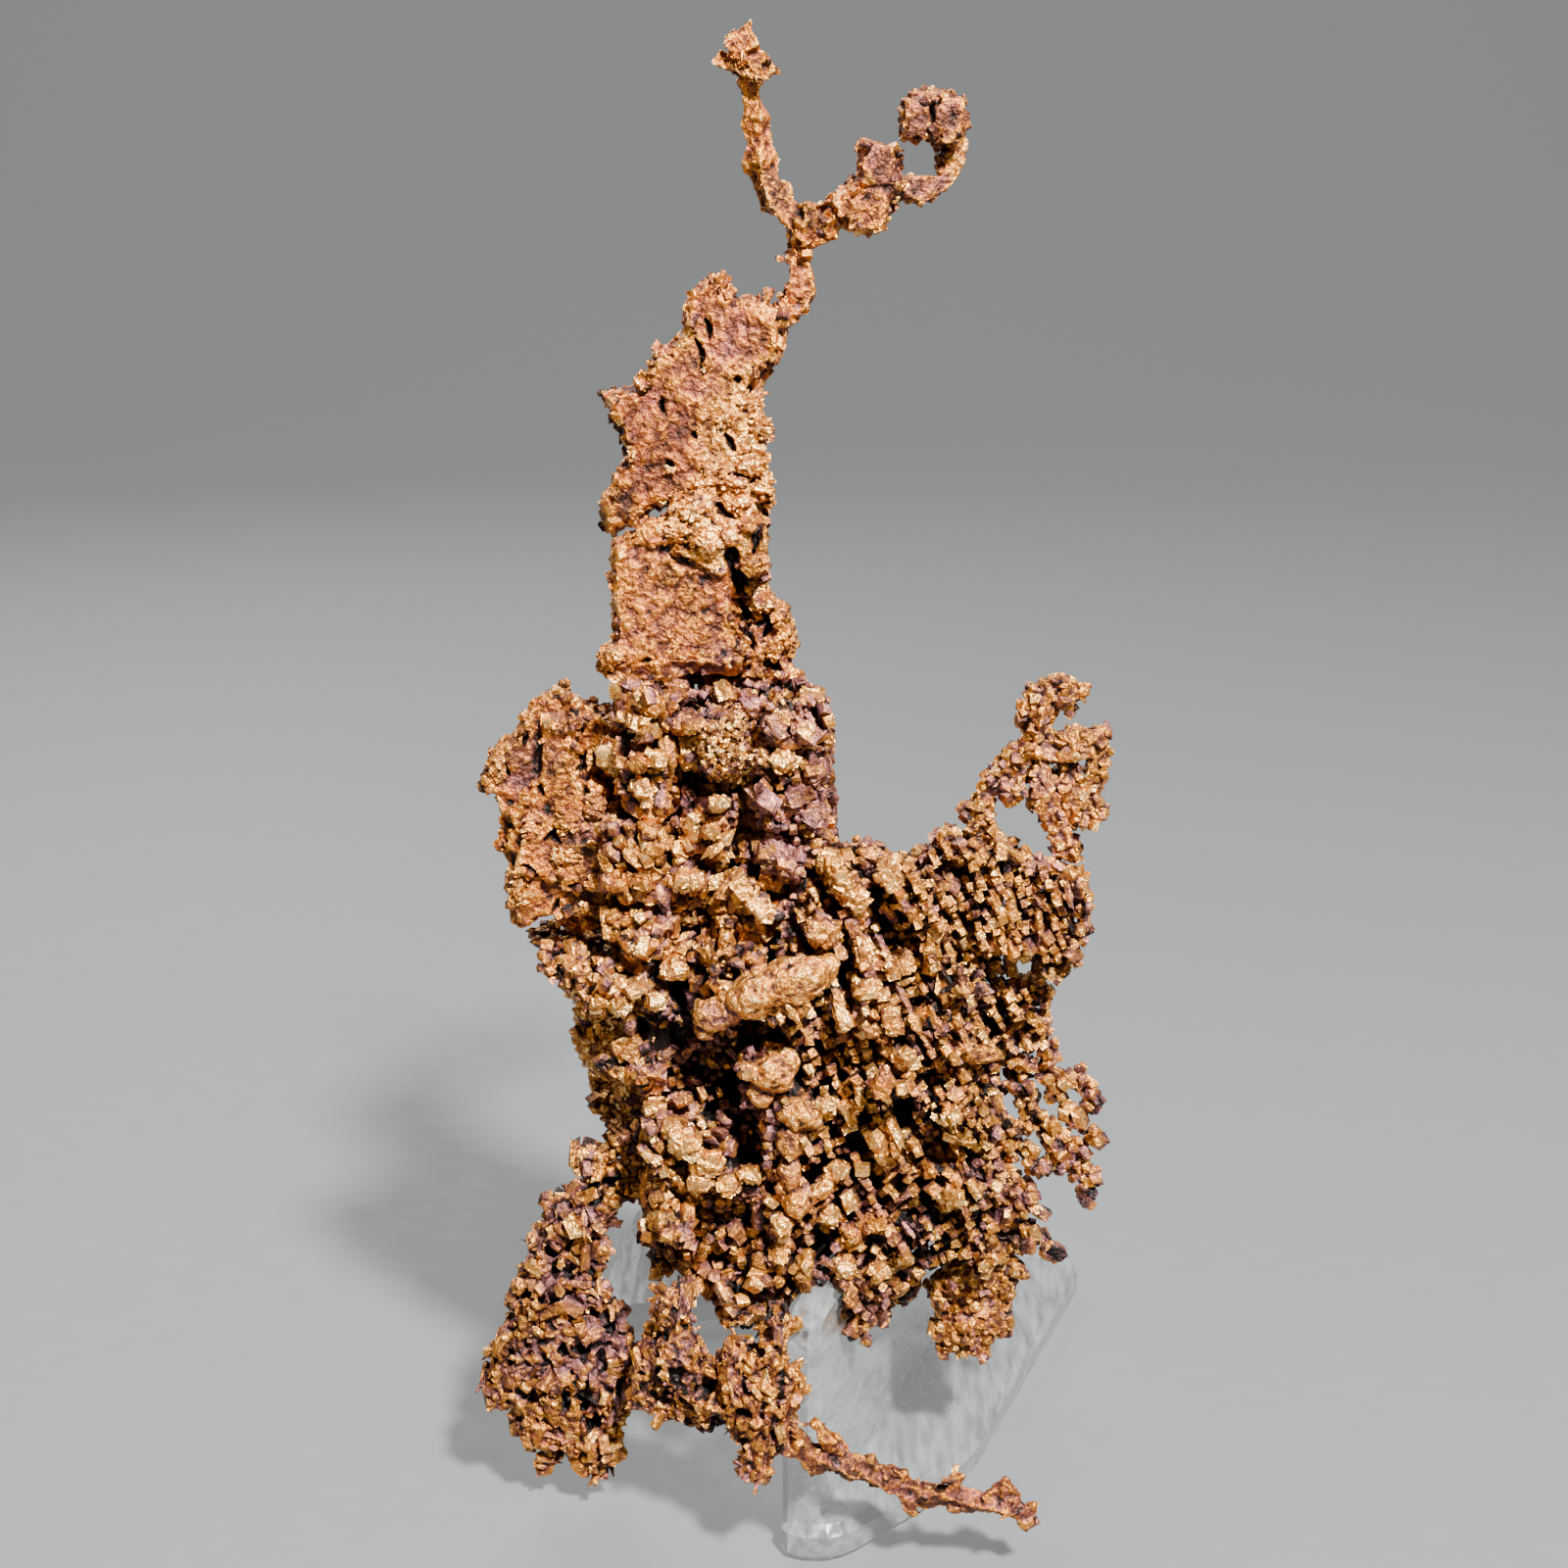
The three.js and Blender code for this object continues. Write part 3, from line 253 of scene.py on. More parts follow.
def object_of(name: str, corners: np.ndarray, faces: np.ndarray) -> bpy.types.Object:
    """Puts an object with a given mesh in the scene.

    Args:
        name: its name.
        corners: places in metres, one row each.
        faces: corner numbers of its triangles.

    Returns:
        The new object.
    """
    mesh = bpy.data.meshes.new(name)
    mesh.from_pydata(corners, [], faces)
    obj = bpy.data.objects.new(name, mesh)
    bpy.context.scene.collection.objects.link(obj)
    return obj


def apply(obj: bpy.types.Object, kind: str, **settings: object) -> None:
    """Adds a modifier and applies it.

    Args:
        obj: the object to change.
        kind: the modifier's type.
        **settings: its settings.
    """
    lone(obj)
    mod = obj.modifiers.new(kind.lower(), kind)
    for key, value in settings.items():
        setattr(mod, key, value)
    bpy.ops.object.modifier_apply(modifier=mod.name)


def coat(obj: bpy.types.Object, kind: Coat, grain: float, height: float) -> None:
    """Roughens a surface by a procedural relief.

    Args:
        obj: the object to roughen.
        kind: the relief.
        grain: size of its features in mm.
        height: how far it moves the surface in mm.
    """
    relief = bpy.data.textures.new(f"{obj.name}_{kind.value.lower()}", kind.value)
    relief.noise_scale = grain * MM
    apply(obj, "DISPLACE", texture=relief, strength=height * MM, texture_coords="LOCAL")
    bpy.data.textures.remove(relief)


class SeedBench:
    """Models each crystal habit a few times, to be copied."""

    def __init__(self, variants: int = 9) -> None:
        """Models every habit.

        Args:
            variants: how many seeds each habit has.
        """
        makers = {
            Habit.BLOCK: self.block,
            Habit.KNOB: self.knob,
            Habit.ROD: self.rod,
            Habit.SHARD: self.shard,
            Habit.SLAB: self.slab,
            Habit.BOSS: self.boss,
        }
        self.seeds = {
            habit: [self.taken(make, seed) for seed in range(variants)]
            for habit, make in makers.items()
        }

    def taken(self, make: Callable[[int], None], seed: int) -> tuple[np.ndarray, np.ndarray]:
        """Makes one seed crystal and takes its arrays.

        Args:
            make: the method that models it, and leaves it in edit mode.
            seed: number of the variant.

        Returns:
            Its corners and its triangles.
        """
        make(seed)
        bpy.ops.mesh.select_all(action="SELECT")
        bpy.ops.mesh.quads_convert_to_tris(quad_method="SHORTEST_DIAGONAL")
        bpy.ops.mesh.normals_make_consistent(inside=False)
        bpy.ops.object.mode_set(mode="OBJECT")
        seed_object = bpy.context.object
        arrays = arrays_of(seed_object.data)
        mesh = seed_object.data
        bpy.data.objects.remove(seed_object)
        bpy.data.meshes.remove(mesh)
        return arrays

    @staticmethod
    def block(seed: int) -> None:
        """Cube crystal with some edges worn and, on every third, a step grown on it.

        Args:
            seed: number of the variant.
        """
        bpy.ops.mesh.primitive_cube_add(size=2)
        bpy.ops.object.mode_set(mode="EDIT")
        bpy.ops.mesh.select_mode(type="EDGE")
        bpy.ops.mesh.select_all(action="DESELECT")
        bpy.ops.mesh.select_random(ratio=0.45, seed=seed + 3)
        bpy.ops.mesh.bevel(offset=0.3 + 0.06 * (seed % 3), segments=1, affect="EDGES")
        if seed % 3 == 0:
            bpy.ops.mesh.select_mode(type="FACE")
            bpy.ops.mesh.select_all(action="DESELECT")
            bpy.ops.mesh.select_random(ratio=0.2, seed=seed)
            bpy.ops.mesh.extrude_region_shrink_fatten(
                TRANSFORM_OT_shrink_fatten={"value": 0.3},
            )
        bpy.ops.mesh.select_all(action="SELECT")
        bpy.ops.transform.vertex_random(offset=0.2, seed=seed)

    @staticmethod
    def knob(seed: int) -> None:
        """Angular grown-together lump.

        Args:
            seed: number of the variant.
        """
        bpy.ops.mesh.primitive_ico_sphere_add(subdivisions=1, radius=1.2)
        bpy.ops.object.mode_set(mode="EDIT")
        bpy.ops.mesh.select_mode(type="FACE")
        bpy.ops.mesh.select_all(action="DESELECT")
        bpy.ops.mesh.select_random(ratio=0.15, seed=seed)
        bpy.ops.mesh.extrude_region_shrink_fatten(TRANSFORM_OT_shrink_fatten={"value": 0.35})
        bpy.ops.mesh.select_all(action="SELECT")
        bpy.ops.transform.vertex_random(offset=0.36, seed=seed + 20)

    @staticmethod
    def rod(seed: int) -> None:
        """Stout rod with ribs where crystals stacked up, long along x.

        Args:
            seed: number of the variant.
        """
        bpy.ops.mesh.primitive_circle_add(
            vertices=5 + seed % 2, radius=0.7, fill_type="NGON", location=(-1, 0, 0),
            rotation=(0, math.pi / 2, 0),
        )
        bpy.ops.object.transform_apply(location=True, rotation=True)
        bpy.ops.object.mode_set(mode="EDIT")
        bpy.ops.mesh.select_all(action="SELECT")
        for share in (1.4, 0.86, 1.22, 0.84, 0.7):
            bpy.ops.mesh.extrude_region_move(TRANSFORM_OT_translate={"value": (0.4, 0, 0)})
            bpy.ops.transform.resize(value=(1, share, share))
        bpy.ops.mesh.select_all(action="SELECT")
        bpy.ops.transform.vertex_random(offset=0.24, seed=seed + 40)

    @staticmethod
    def shard(seed: int) -> None:
        """Torn hackly point, long along x.

        Args:
            seed: number of the variant.
        """
        bpy.ops.mesh.primitive_cone_add(
            vertices=5, radius1=0.95, radius2=0.18, depth=2, rotation=(0, math.pi / 2, 0),
        )
        bpy.ops.object.transform_apply(rotation=True)
        bpy.ops.object.mode_set(mode="EDIT")
        bpy.ops.mesh.subdivide(number_cuts=1)
        bpy.ops.transform.vertex_random(offset=0.28, seed=seed + 60)

    @staticmethod
    def slab(seed: int) -> None:
        """Thin crystal plate, flat across z.

        Args:
            seed: number of the variant.
        """
        bpy.ops.mesh.primitive_cube_add(size=2, scale=(1, 1, 0.32))
        bpy.ops.object.transform_apply(scale=True)
        bpy.ops.object.mode_set(mode="EDIT")
        bpy.ops.mesh.bevel(offset=0.14, segments=1, affect="EDGES")
        bpy.ops.transform.vertex_random(offset=0.18, seed=seed + 80)

    @staticmethod
    def boss(seed: int) -> None:
        """Swollen lump with a calm surface.

        Args:
            seed: number of the variant.
        """
        bpy.ops.mesh.primitive_ico_sphere_add(subdivisions=3, radius=1.0)
        bpy.ops.object.mode_set(mode="EDIT")
        bpy.ops.transform.vertex_random(offset=0.07, seed=seed + 100)


class Crystal(NamedTuple):
    """One crystal as it stands: places and sizes in mm, sink from 0 to 1."""

    centre: Vector
    axes: Matrix
    half: list[float]
    tone: Tone
    sink: float
    outward: Vector


@dataclass
class CrystalBed:
    """Crystals of one piece, copied from the seeds and joined in one mesh.

    The relief of a crystal rises by crest_relief from its middle to its crest, strays by
    own_relief as a whole, and falls by sink_relief where it lies deep in a recess. The finish
    paints a highlight where the relief is high and shade where it is low.
    """

    bench: SeedBench
    random: np.random.Generator
    grown: dict[tuple[Habit, int], list[Crystal]] = field(default_factory=dict)
    smallest: float = 0.86
    largest: float = 1.16
    base_relief: float = 0.1
    crest_relief: float = 0.75
    own_relief: float = 0.24
    sink_relief: float = 1.5

    def grow(
        self, habit: Habit, centre: Vector, along: Vector, outward: Vector,
        half: tuple[float, float, float], tone: Tone, sink: float = 0.0, tilt: float = 0.2,
    ) -> None:
        """Adds one crystal.

        Args:
            habit: its shape.
            centre: its place in mm.
            along: direction of its long side.
            outward: direction away from what it grows on.
            half: half sizes in mm along it, across it and outward.
            tone: its tarnish.
            sink: how deep it lies in the recesses, from 0 to 1, which darkens it with painted
                shade.
            tilt: how far it may lean, in radians.
        """
        z = outward.normalized()
        x = along - z * along.dot(z)
        if x.length < TINY:
            x = z.orthogonal()
        x.normalize()
        axes = Matrix((x, z.cross(x), z)).transposed()
        lean = Euler([float(a) for a in self.random.normal(0, tilt, 3)]).to_matrix()
        rough = self.random.uniform(self.smallest, self.largest, 3)
        variant = int(self.random.integers(len(self.bench.seeds[habit])))
        sizes = [h * r for h, r in zip(half, rough)]
        crystal = Crystal(centre, axes @ lean, sizes, tone, sink, z)
        self.grown.setdefault((habit, variant), []).append(crystal)

    def count(self) -> int:
        """How many crystals have grown."""
        return sum(len(rows) for rows in self.grown.values())

    def piece(self, name: str, unevenness: float = 0.13) -> bpy.types.Object:
        """Joins the crystals in one mesh, painted with their own tarnish.

        Args:
            name: the piece's name.
            unevenness: how far each corner strays, as a share of the crystal's half size.

        Returns:
            The new object.
        """
        corners, faces, tones, reliefs, start = [], [], [], [], 0
        for (habit, variant), rows in self.grown.items():
            seed_corners, seed_faces = self.bench.seeds[habit][variant]
            count = len(rows)
            centres = np.array([row.centre for row in rows])[:, None, :]
            axes = np.array([[list(line) for line in row.axes] for row in rows])
            half = np.array([row.half for row in rows])[:, None, :]
            stray = self.random.normal(0, unevenness, (count, len(seed_corners), 3))
            turned = np.einsum("nij,nkj->nki", axes, (seed_corners[None] + stray) * half)
            outward = np.array([row.outward for row in rows])[:, None, :]
            height = (turned * outward).sum(axis=2) / half[:, :, 2]
            sink = np.array([row.sink for row in rows])[:, None]
            tone = np.array([row.tone.row() for row in rows])
            corners.append((centres + turned).reshape(-1, 3))
            offset = start + np.arange(count)[:, None, None] * len(seed_corners)
            faces.append((seed_faces[None] + offset).reshape(-1, 3))
            tones.append(np.repeat(tone, len(seed_corners), axis=0))
            own = self.random.normal(0, self.own_relief, (count, 1))
            rise = self.crest_relief * height + self.base_relief + own
            reliefs.append((rise - self.sink_relief * sink).reshape(-1))
            start += count * len(seed_corners)
        obj = object_of(name, np.concatenate(corners) * MM, np.concatenate(faces))
        paint(obj.data, np.concatenate(tones), np.concatenate(reliefs))
        return obj

    def tarnish(self, points: np.ndarray) -> tuple[np.ndarray, np.ndarray]:
        """Tone and depth of the crystal that is nearest to each point.

        Args:
            points: places in mm, one row each.

        Returns:
            Orange, gold, plum and 1 for each point, and its crystal's sink.
        """
        rows = [row for group in self.grown.values() for row in group]
        tree = KDTree(len(rows))
        for i, row in enumerate(rows):
            tree.insert(row.centre, i)
        tree.balance()
        near = [tree.find(point)[1] for point in points.tolist()]
        tones = np.array([row.tone.row() for row in rows])
        sinks = np.array([row.sink for row in rows])
        return tones[near], sinks[near]


def paint(mesh: bpy.types.Mesh, tones: np.ndarray, reliefs: np.ndarray) -> None:
    """Keeps tarnish and relief on a mesh's corners, for its finish to read.

    Args:
        mesh: the mesh to paint.
        tones: orange, gold, plum and 1 for each corner.
        reliefs: -1 in a recess to 1 on a crest for each corner, painted as shade low and
            highlight high.
    """
    for name in ("tone", "relief"):
        if name in mesh.attributes:
            mesh.attributes.remove(mesh.attributes[name])
    tone = mesh.attributes.new("tone", "FLOAT_COLOR", "POINT")
    tone.data.foreach_set("color", np.clip(tones, 0, 1).astype(np.float32).reshape(-1))
    relief = mesh.attributes.new("relief", "FLOAT", "POINT")
    relief.data.foreach_set("value", np.clip(reliefs, -1, 1).astype(np.float32))


class Skin:
    """Surface of one CAD node in mm, asked by sight lines and by area."""

    def __init__(self, node: str) -> None:
        """Reads the node's mesh.

        Args:
            node: the CAD node.
        """
        corners, self.faces = arrays_of(frame["nodes"][node].data)
        self.corners = corners / MM
        self.tree = BVHTree.FromPolygons(self.corners.tolist(), self.faces.tolist())

    def front(self, u: float, v: float) -> tuple[Vector, Vector] | None:
        """Place and normal that a sight line meets first.

        Args:
            u: sheet steps to the right.
            v: sheet steps down.

        Returns:
            The place in mm and its normal, or None where nothing is met.
        """
        line = SHEET.sight(u, v).normalized()
        place, normal, *_ = self.tree.ray_cast(Vector(SHEET.station), line)
        return (place, normal) if place else None

    def rear(self, u: float, v: float) -> tuple[Vector, Vector] | None:
        """Place and normal that a sight line leaves last.

        Args:
            u: sheet steps to the right.
            v: sheet steps down.

        Returns:
            The place in mm and its normal, or None where nothing is met.
        """
        line = SHEET.sight(u, v).normalized()
        place, normal, *_ = self.tree.ray_cast(SHEET.at(u, v, FAR_BEHIND), -line)
        return (place, normal) if place else None

    def scatter(self, spacing: float, random: np.random.Generator) -> list[tuple[Vector, Vector]]:
        """Places spread over the surface, no two closer than the spacing.

        Args:
            spacing: least distance in mm.
            random: source of chance.

        Returns:
            Places and normals.
        """
        a, b, c = (self.corners[self.faces[:, k]] for k in range(3))
        cross = np.cross(b - a, c - a)
        area = np.linalg.norm(cross, axis=1) / 2
        tries = int(area.sum() / spacing**2 * TRIES)
        picks = random.choice(len(area), size=tries, p=area / area.sum())
        r, s = np.sqrt(random.random(tries)), random.random(tries)
        weights = np.stack([1 - r, r * (1 - s), r * s], axis=1)[:, :, None]
        corners = np.stack([a[picks], b[picks], c[picks]], axis=1)
        points = (weights * corners).sum(axis=1)
        normals = cross[picks] / (2 * area[picks, None] + 1e-12)
        cells: dict[tuple[int, int, int], list[int]] = {}
        kept = []
        keys = np.floor(points / spacing).astype(int)
        around = [(i, j, k) for i in (-1, 0, 1) for j in (-1, 0, 1) for k in (-1, 0, 1)]
        for i, (point, key) in enumerate(zip(points, keys.tolist())):
            near = (
                other
                for d in around
                for other in cells.get((key[0] + d[0], key[1] + d[1], key[2] + d[2]), ())
            )
            if all(((points[other] - point) ** 2).sum() > spacing**2 for other in near):
                cells.setdefault(tuple(key), []).append(i)
                kept.append((Vector(point), Vector(normals[i])))
        return kept


class Survey:
    """Net of depths seen along the sight lines through one node."""

    def __init__(self, skin: Skin, step: float = 4.0) -> None:
        """Casts the sight lines.

        Args:
            skin: the node's surface.
            step: how far apart they are on the sheet.
        """
        marks = SHEET.marks(skin.corners)
        margin = 2 * step
        self.low = marks.min(axis=0) - margin
        self.step = step
        cols, rows = np.ceil((marks.max(axis=0) + margin - self.low) / step).astype(int)
        self.depth = {+1: np.full((cols, rows), np.nan), -1: np.full((cols, rows), np.nan)}
        for i in range(cols):
            for j in range(rows):
                u, v = self.low[0] + i * step, self.low[1] + j * step
                hit = skin.front(u, v)
                if hit:
                    self.depth[+1][i, j] = hit[0].y - SHEET.copper_plane
                    self.depth[-1][i, j] = skin.rear(u, v)[0].y - SHEET.copper_plane
        solid = ~np.isnan(self.depth[+1])
        self.room = np.zeros((cols, rows))
        ring = solid.copy()
        while ring.any():
            self.room += ring * step
            inner = ring.copy()
            inner[1:] &= ring[:-1]
            inner[:-1] &= ring[1:]
            inner[:, 1:] &= ring[:, :-1]
            inner[:, :-1] &= ring[:, 1:]
            ring = inner
        self.smooth = {side: self.evened(side, solid) for side in (+1, -1)}

    def evened(self, side: int, solid: np.ndarray) -> np.ndarray:
        """Depths averaged over their neighbours, for a calm envelope.

        Args:
            side: 1 for the front, -1 for the rear.
            solid: where a sight line meets the node.

        Returns:
            The averaged depths in mm.
        """
        total = np.where(solid, self.depth[side], 0)
        weight = solid.astype(float)
        for axis in (0, 1):
            total = total + np.roll(total, 1, axis) + np.roll(total, -1, axis)
            weight = weight + np.roll(weight, 1, axis) + np.roll(weight, -1, axis)
        return total / np.maximum(weight, 1)

    def look(self, u: float, v: float, side: int = 1) -> tuple[float, float]:
        """Depth of the envelope and room to the outline.

        Args:
            u: sheet steps to the right.
            v: sheet steps down.
            side: 1 for the front, -1 for the rear.

        Returns:
            Depth in mm, and sheet steps to the outline: 0 where nothing is met.
        """
        i = int(round((u - self.low[0]) / self.step))
        j = int(round((v - self.low[1]) / self.step))
        if not (0 <= i < self.room.shape[0] and 0 <= j < self.room.shape[1]):
            return 0.0, 0.0
        if self.room[i, j] == 0:
            return 0.0, 0.0
        return float(self.smooth[side][i, j]), float(self.room[i, j])

    def thick(self, u: float, v: float) -> float:
        """How thick the node is at a sheet point, in mm."""
        return self.look(u, v, -1)[0] - self.look(u, v, 1)[0]


def merged_copy(node: str, name: str) -> bpy.types.Object:
    """New object with a CAD node's mesh, its doubles merged.

    Args:
        node: the CAD node.
        name: the new object's name.

    Returns:
        The new object.
    """
    obj = lone(object_of(name, *arrays_of(frame["nodes"][node].data)))
    bpy.ops.object.mode_set(mode="EDIT")
    bpy.ops.mesh.select_all(action="SELECT")
    bpy.ops.mesh.remove_doubles(threshold=TINY)
    bpy.ops.object.mode_set(mode="OBJECT")
    return obj


def joined(obj: bpy.types.Object, *others: bpy.types.Object) -> bpy.types.Object:
    """Joins objects into the first one's mesh.

    Args:
        obj: the object that takes in the others.
        *others: the others.

    Returns:
        The first object.
    """
    lone(obj)
    for other in others:
        other.select_set(True)
    bpy.ops.object.join()
    return obj


def sunk_in(obj: bpy.types.Object, most: float, share: float) -> None:
    """Moves a surface inward, less where it is thin.

    Args:
        obj: the object to shrink.
        most: the farthest move in mm.
        share: the farthest move as a share of the thickness there.
    """
    corners, faces = arrays_of(obj.data)
    tree = BVHTree.FromPolygons(corners.tolist(), faces.tolist())
    normals = normals_of(obj.data)
    moves = np.zeros(len(corners))
    for i, (corner, normal) in enumerate(zip(corners, normals)):
        inward = -Vector(normal)
        place, _, _, thick = tree.ray_cast(Vector(corner) + inward * JUST_INSIDE, inward)
        moves[i] = min(most * MM, share * thick) if place else 0.0
    set_corners(obj, corners - normals * moves[:, None])


def relief_of(obj: bpy.types.Object, rounds: int, height: float) -> np.ndarray:
    """How each corner stands above or below its calm surroundings.

    Args:
        obj: the object to measure.
        rounds: how many times the surroundings are averaged.
        height: mm that count as a full crest or recess.

    Returns:
        1 on a crest to -1 in a recess, for each corner.
    """
    mesh = obj.data
    corners, _ = arrays_of(mesh)
    edges = np.empty(len(mesh.edges) * 2, dtype=np.int32)
    mesh.edges.foreach_get("vertices", edges)
    a, b = edges.reshape(-1, 2).T
    degree = np.bincount(np.concatenate([a, b]), minlength=len(corners))
    calm = corners.copy()
    for _ in range(rounds):
        total = np.empty_like(calm)
        for k in range(3):
            total[:, k] = np.bincount(a, calm[b, k], len(corners))
            total[:, k] += np.bincount(b, calm[a, k], len(corners))
        calm = total / np.maximum(degree, 1)[:, None]
    return ((corners - calm) * normals_of(mesh)).sum(axis=1) / (height * MM)


@dataclass(frozen=True)
class Crease:
    """Crack or dark fold of the front, between two sheet points; width in sheet steps."""

    u0: float
    v0: float
    u1: float
    v1: float
    width: float
    depth: float = 0.6

    def share(self, marks: np.ndarray) -> np.ndarray:
        """How far inside the crease sheet points lie.

        Args:
            marks: u and v, one row each.

        Returns:
            1 along its crooked middle, falling to 0 at its sides.
        """
        u, v = marks[:, 0], marks[:, 1]
        a, b, c, d = CREASE_WAVES
        stray = np.stack([np.sin(v / a + np.sin(u / b)), np.sin(u / c + np.sin(v / d))], 1)
        start = np.array([self.u0, self.v0])
        run = np.array([self.u1, self.v1]) - start
        rel = marks + CREASE_STRAY * stray - start
        along = np.clip((rel @ run) / max(float(run @ run), TINY), 0, 1)
        away = np.linalg.norm(rel - along[:, None] * run, axis=1)
        width = self.width * (CREASE_END + CREASE_BULGE * along * (1 - along))
        return np.clip(CREASE_FLOOR * (1 - away / width), 0, 1)


def press(obj: bpy.types.Object, creases: tuple[Crease, ...]) -> None:
    """Presses creases in the front of a piece.

    Args:
        obj: the piece.
        creases: the creases.
    """
    corners, _ = arrays_of(obj.data)
    front = normals_of(obj.data)[:, 1] < CREASE_FACING
    marks = SHEET.marks(corners / MM)
    depth = np.zeros(len(corners))
    for crease in creases:
        depth = np.maximum(depth, crease.share(marks) * front * crease.depth)
    corners[:, 1] += depth * MM
    set_corners(obj, corners)


@dataclass(frozen=True)
class Patch:
    """Oval of the sheet with its own tarnish."""

    u: float
    v: float
    ru: float
    rv: float
    tone: Tone

    def share(self, u: np.ndarray, v: np.ndarray) -> np.ndarray:
        """How much of it reaches each sheet point, from 0 to 1."""
        away = np.sqrt(((u - self.u) / self.ru) ** 2 + ((v - self.v) / self.rv) ** 2)
        return np.clip((PATCH_RIM - away) / PATCH_FADE, 0, 1)


class TarnishMap:
    """Tarnish over the whole copper, laid patch over patch on the sheet."""

    def __init__(self, base: Tone, patches: list[Patch]) -> None:
        """Lays the patches and keeps a net of the tones that they give.

        Args:
            base: the tone under the patches.
            patches: the patches, each over those before it.
        """
        self.base = base
        self.patches = patches
        self.step = 4.0
        ticks = np.arange(0, SHEET.side + self.step, self.step)
        net = np.stack(np.meshgrid(ticks, ticks, indexing="ij"), axis=2).reshape(-1, 2)
        rows = self.over(net).reshape(len(ticks), len(ticks), 4)
        self.net = [[Tone(*cell[:3]) for cell in row] for row in rows.tolist()]

    def over(self, marks: np.ndarray) -> np.ndarray:
        """Tones at sheet points.

        Args:
            marks: u and v, one row each.

        Returns:
            Orange, gold, plum and 1, one row each.
        """
        tones = np.tile(self.base.row(), (len(marks), 1))
        for patch in self.patches:
            share = patch.share(marks[:, 0], marks[:, 1])[:, None]
            tones = tones * (1 - share) + np.array(patch.tone.row()) * share
        return tones

    def at(self, u: float, v: float) -> Tone:
        """Tone at one sheet point."""
        i, j = (min(max(round(c / self.step), 0), len(self.net) - 1) for c in (u, v))
        return self.net[i][j]


ORANGE_SHEET = Tone(0.9, 0.3, 0.25)
GOLD_EDGE = Tone(0.35, 0.85, 0.05)
PLUM = Tone(0.15, 0.15, 0.95)
TAN = Tone(0.4, 0.6, 0.15)
# BROWN is a tone of the oxide, also used as painted shade where the copper lies in shadow
BROWN = Tone(0.35, 0.15, 0.3)
# CREAM paints a highlight: crystals and patches with it stand in for glints
CREAM = Tone(0.1, 1.0, 0.05)
RUST = Tone(0.9, 0.15, 0.2)
MAUVE = Tone(0.2, 0.35, 0.95)
DARK_BROWN = Tone(0.5, 0.0, 0.4)
# The CREAM patch paints a highlight where a glint falls, and the BROWN patch on the spire's right
# column paints shade where it lies in shadow.
TARNISH = TarnishMap(Tone(0.4, 0.5, 0.25), [Patch(*row) for row in (
    (800, 160, 160, 140, Tone(0.75, 0.4, 0.05)), (940, 150, 60, 80, Tone(0.4, 0.1, 0.45)),
    (985, 190, 18, 60, GOLD_EDGE), (700, 440, 130, 240, ORANGE_SHEET), (655, 470, 60, 60, RUST),
    (755, 470, 45, 90, GOLD_EDGE), (720, 545, 45, 40, Tone(0.5, 0.9, 0.0)),
    (665, 610, 60, 60, Tone(0.7, 0.5, 0.1)), (780, 620, 30, 90, BROWN),
    (740, 760, 110, 90, Tone(0.25, 0.35, 0.7)), (820, 800, 50, 90, Tone(0.2, 0.1, 0.9)),
    (640, 790, 50, 70, TAN), (560, 830, 80, 120, Tone(0.85, 0.5, 0.05)),
    (530, 775, 40, 30, Tone(0.4, 0.3, 0.4)), (600, 855, 40, 26, Tone(0.2, 0.3, 0.5)),
    (620, 920, 40, 34, RUST), (625, 1050, 60, 90, Tone(0.45, 0.75, 0.1)),
    (645, 1008, 36, 20, CREAM), (740, 1110, 70, 110, Tone(0.2, 0.15, 0.9)),
    (780, 1010, 66, 34, Tone(0.45, 0.8, 0.15)), (700, 1185, 40, 40, Tone(0.5, 0.85, 0.05)),
    (960, 1060, 150, 130, Tone(0.35, 0.55, 0.25)), (900, 1270, 120, 80, Tone(0.45, 0.3, 0.35)),
    (1000, 1320, 60, 70, Tone(0.5, 0.3, 0.15)), (575, 1330, 80, 190, Tone(0.4, 0.3, 0.5)),
    (600, 1185, 50, 40, Tone(0.4, 0.6, 0.1)), (590, 1470, 60, 50, Tone(0.8, 0.25, 0.15)),
    (780, 1440, 90, 80, Tone(0.85, 0.4, 0.15)), (930, 1520, 150, 60, Tone(1.0, 0.15, 0.2)),
)])


MIX_SHARE, MIX_FIRST, MIX_SECOND = "0", "6", "7"  # inputs of a node that mixes colours
MIX_COLOUR = 2  # and its output


